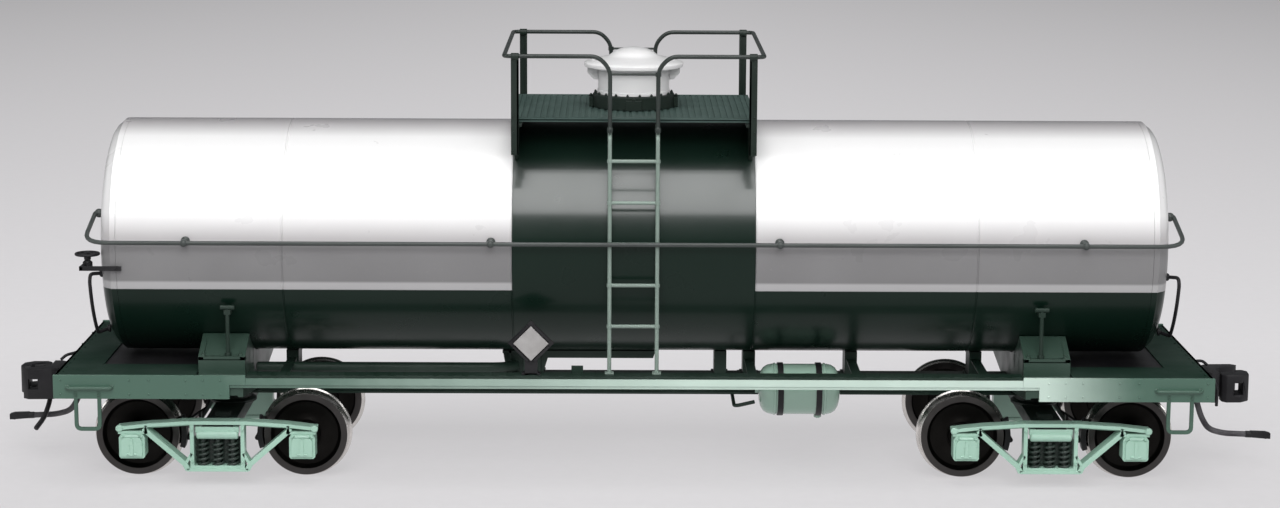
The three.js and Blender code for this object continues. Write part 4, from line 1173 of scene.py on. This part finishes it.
def side_frame(end, side, at, turned):
    """Cast side frame: arched top bar, thin diagonals, columns, spring nest and journal boxes."""
    body = f"{end}_truck"
    near, far = 22.2, 25.4
    frame_part = Shape(at, turned)
    top = [(-20.5, 11.5), (-14.4, 12.2), (-6, 12.75), (6, 12.75), (14.4, 12.2), (20.5, 11.5)]
    frame_part.plate(strip(top, 0.75), near, far)
    frame_part.plate(strip([(x, z - 0.7) for x, z in top[1:5]], 0.8), near + 0.3, near + 0.9)
    frame_part.box(-6.3, 6.3, near, far, 2.5, 3.15)
    frame_part.box(-5.2, 5.2, near + 0.2, far - 0.2, 3.1, 3.7)
    frame_part.box(-4.8, 4.8, near + 0.1, near + 0.5, 3.5, 9.3)
    for way in (-1, 1):
        diagonal = [(way * 15.0, 11.6), (way * 14.6, 11.0), (way * 6.75, 4.1), (way * 6.1, 2.8)]
        frame_part.plate(strip(diagonal, 1.05), near, far)
        frame_part.plate(strip([(way * 6.4, 4.4), (way * 5.3, 6.3)], 0.6), near + 0.4, far - 0.1)
        frame_part.plate(strip([(way * 5.2, 3.0), (way * 5.2, 12.6)], 0.8), near, far - 0.1)
        shelf = [(way * 14.2, 10.7), (way * 20.3, 10.7)]
        frame_part.plate(strip(shelf, 0.6), near, far)
        frame_part.box(*sorted((way * 14.3, way * 14.9)), near, far, 10.4, 12.2)
        boss = [(0.75, far - 0.4), (0.75, far + 0.25), (0.5, far + 0.45)]
        frame_part.turn(boss, (way * 20.0, 0, 11.6), "y", 14)
        x = way * JOURNAL_X
        case = [
            (x - 2.65, 5.7), (x - 2.3, 5.3), (x + 2.3, 5.3), (x + 2.65, 5.7), (x + 2.65, 9.7),
            (x + 2.2, 10.4), (x - 2.2, 10.4), (x - 2.65, 9.7),
        ]
        frame_part.plate(case, 21.6, 25.6)
        lid = [
            (x - 2.15, 5.8), (x + 2.15, 5.8), (x + 2.15, 9.0), (x + 1.7, 9.7), (x - 1.7, 9.7),
            (x - 2.15, 9.0),
        ]
        frame_part.plate(lid, 25.5, 26.15)
        rib = [(x - 0.42, 6.0), (x + 0.42, 6.0), (x + 0.3, 9.6), (x - 0.3, 9.6)]
        frame_part.plate(rib, 26.0, 26.4)
        frame_part.tube([(x - 1.5, 25.75, 10.0), (x + 1.5, 25.75, 10.0)], 0.42, 0, 12)
        frame_part.tube([(x - 1.1, 26.1, 6.3), (x + 1.1, 26.1, 6.3)], 0.26, 0, 10)
        frame_part.turn([(2.35, 20.4), (2.35, 21.7)], (x, 0, AXLE_Z), "y", 28)
        frame_part.nuts([(x - 2.0, 25.6, 9.9), (x + 2.0, 25.6, 9.9)], 0.32, 0.3, "y")
        frame_part.nuts([(way * 5.2, far - 0.1, z) for z in (11.4, 4.6)], 0.34, 0.3, "y")
    name = f"side_frame_{end}_{side}"
    frame_part.finish(
        f"truck_frame_{end}_{side}", "pale_green", body, [name], bevel=0.12, paint=TRUCK_PAINT
    )

    nest = Shape(at, turned)
    for x in (-3.05, 0.0, 3.05):
        spring(nest, (x, 23.9), 1.05, 0.27, 3.7, 8.9)
        nest.turn([(0.55, 3.6), (0.55, 9.0)], (x, 23.9, 0), "z", 12)
    nest.box(-4.75, 4.75, near + 0.5, near + 0.6, 3.6, 9.25)
    nest.finish(f"springs_{end}_{side}", "pale_green", body, smooth=60, paint=NEST_SHADE_PAINT)


def truck(end, sign):
    body = f"{end}_truck"
    at = (sign * TRUCK_X, 0, 0)
    side_frame(end, "far", at, False)
    side_frame(end, "near", at, True)

    high = span(f"truck_bolster_{end}")[1]
    beam = Shape(at)
    half_y = high.y
    section = [
        (-half_y, 9.7), (-19.5, 9.5), (-12, 9.5), (12, 9.5), (19.5, 9.5), (half_y, 9.7),
        (half_y, 12.0), (19, 12.2), (-19, 12.2), (-half_y, 12.0),
    ]
    beam.plate(section, -3.2, 3.2, "x")
    ends = Shape(at)
    for way in (-1, 1):
        ends.tube([(-4.3, way * (half_y - 0.3), 10.2), (4.3, way * (half_y - 0.3), 10.2)], 0.95, 0, 24)
        ends.box(-4.5, 4.5, *sorted((way * (half_y - 0.9), way * (half_y + 0.05))), 10.6, 11.9)
    ends.finish(f"truck_beam_ends_{end}", "pale_green", body, bevel=0.12, paint=TRUCK_PAINT)
    plate_profile = [(4.2, 12.0), (4.2, high.z - 0.1), (4.1, high.z), (0, high.z)]
    beam.turn(plate_profile, steps=56)
    beam.turn([(5.0, 12.0), (5.0, 12.5), (4.4, 12.9)], steps=56)
    for way in (-1, 1):
        beam.box(-1.6, 1.6, *sorted((way * 14.2, way * 16.6)), 12.0, 13.1)
    name = f"truck_bolster_{end}"
    # painted shade: the beam's middle is darker than its mint ends
    beam.finish(f"truck_beam_{end}", "pale_green", body, [name], bevel=0.12, paint=NEST_SHADE_PAINT)

    rigging = Shape(at)
    for way in (-1, 1):
        wheel_x = way * JOURNAL_X
        for side in (-1, 1):
            pad = arc((wheel_x, AXLE_Z), 9.05, 90 + way * 70, 90 + way * 108, 10)
            outer = arc((wheel_x, AXLE_Z), 10.15, 90 + way * 108, 90 + way * 70, 10)
            y0, y1 = sorted((side * 15.4, side * 18.0))
            rigging.plate([*pad, *outer], y0, y1)
            hanger = [(wheel_x - way * 9.9, side * 16.7, 9.0), (wheel_x - way * 9.4, side * 16.7, 12.6)]
            rigging.tube(hanger, 0.35)
        beam_x = wheel_x - way * 10.3
        rigging.tube([(beam_x, -16.9, 7.6), (beam_x, 16.9, 7.6)], 0.55, 0, 12)
        rigging.tube([(beam_x, -12, 7.6), (beam_x + way * 2.6, 0, 7.4), (beam_x, 12, 7.6)], 0.32, 1.0, 10)
        rigging.box(beam_x - 0.3, beam_x + 0.3, -0.8, 0.8, 6.6, 9.2)
    rigging.finish(f"brake_rigging_{end}", "black_metal", body, bevel=0.1)

    for place, direction in (("inner", -sign), ("outer", sign)):
        wheelset = f"{end}_{place}_wheelset"
        centre = (at[0] + direction * JOURNAL_X, 0, AXLE_Z)
        rod = Shape(centre)
        line = [
            (0, -22.6), (0.5, -22.2), (0.9, -21.8), (0.9, -19.2), (1.3, -18.9), (1.55, -18.7),
            (1.55, -14), (1.3, -10), (1.2, 0), (1.3, 10), (1.55, 14), (1.55, 18.7), (1.3, 18.9),
            (0.9, 19.2), (0.9, 21.8), (0.5, 22.2), (0, 22.6),
        ]
        rod.turn(line, axis="y", steps=32)
        rod.finish(f"turned_axle_{end}_{place}", "axle_steel", wheelset, [f"axle_{end}_{place}"], smooth=30)
        for side, turned in (("near", True), ("far", False)):
            disc = Shape(centre, turned)
            back, front, tread, flange = 14.6, 18.3, 8.73, 9.38
            profile = [
                (1.58, back), (3.4, back), (3.6, back + 0.5), (5.2, back + 0.9), (6.9, back + 0.6),
                (7.25, back), (8.7, back), (9.1, back + 0.08), (9.33, back + 0.3), (flange, back + 0.5),
                (9.33, back + 0.7), (9.1, back + 0.88), (8.92, back + 1.05), (8.84, back + 1.35),
                (tread, back + 2.2), (tread - 0.05, front - 0.12), (tread - 0.14, front), (7.35, front),
                (7.2, front - 0.15), (7.0, front - 0.9), (6.6, front - 1.25), (5.2, front - 1.35),
                (3.5, front - 1.1), (3.05, front - 0.7), (2.9, front - 0.1), (2.8, front), (1.58, front),
            ]
            disc.turn(profile, axis="y", steps=80, hollow=True)
            node = f"wheel_{end}_{place}_{side}"
            disc.finish(f"turned_wheel_{end}_{place}_{side}", "wheel_nickel", wheelset, [node], smooth=34)


# ---------------------------------------------------------------- the wagon
studio()
tank()
centre_sill()
tank_anchor()
brake_gear()
platform()
dome()
for end, turned in (("right", False), ("left", True)):
    end_platform(end, turned)
    bolster(end, turned)
    couplers(end, turned)
    truck(end, -1 if turned else 1)
for side, turned in (("near", False), ("far", True)):
    side_sill(side, turned)
    handrail(side, turned)
    placard(side, turned)
    ladder(side, turned)
for side, end, way, turned in (
    ("near", "left", -1, False),
    ("near", "right", 1, False),
    ("far", "right", -1, True),
    ("far", "left", 1, True),
):
    grab_iron(side, end, way, turned)
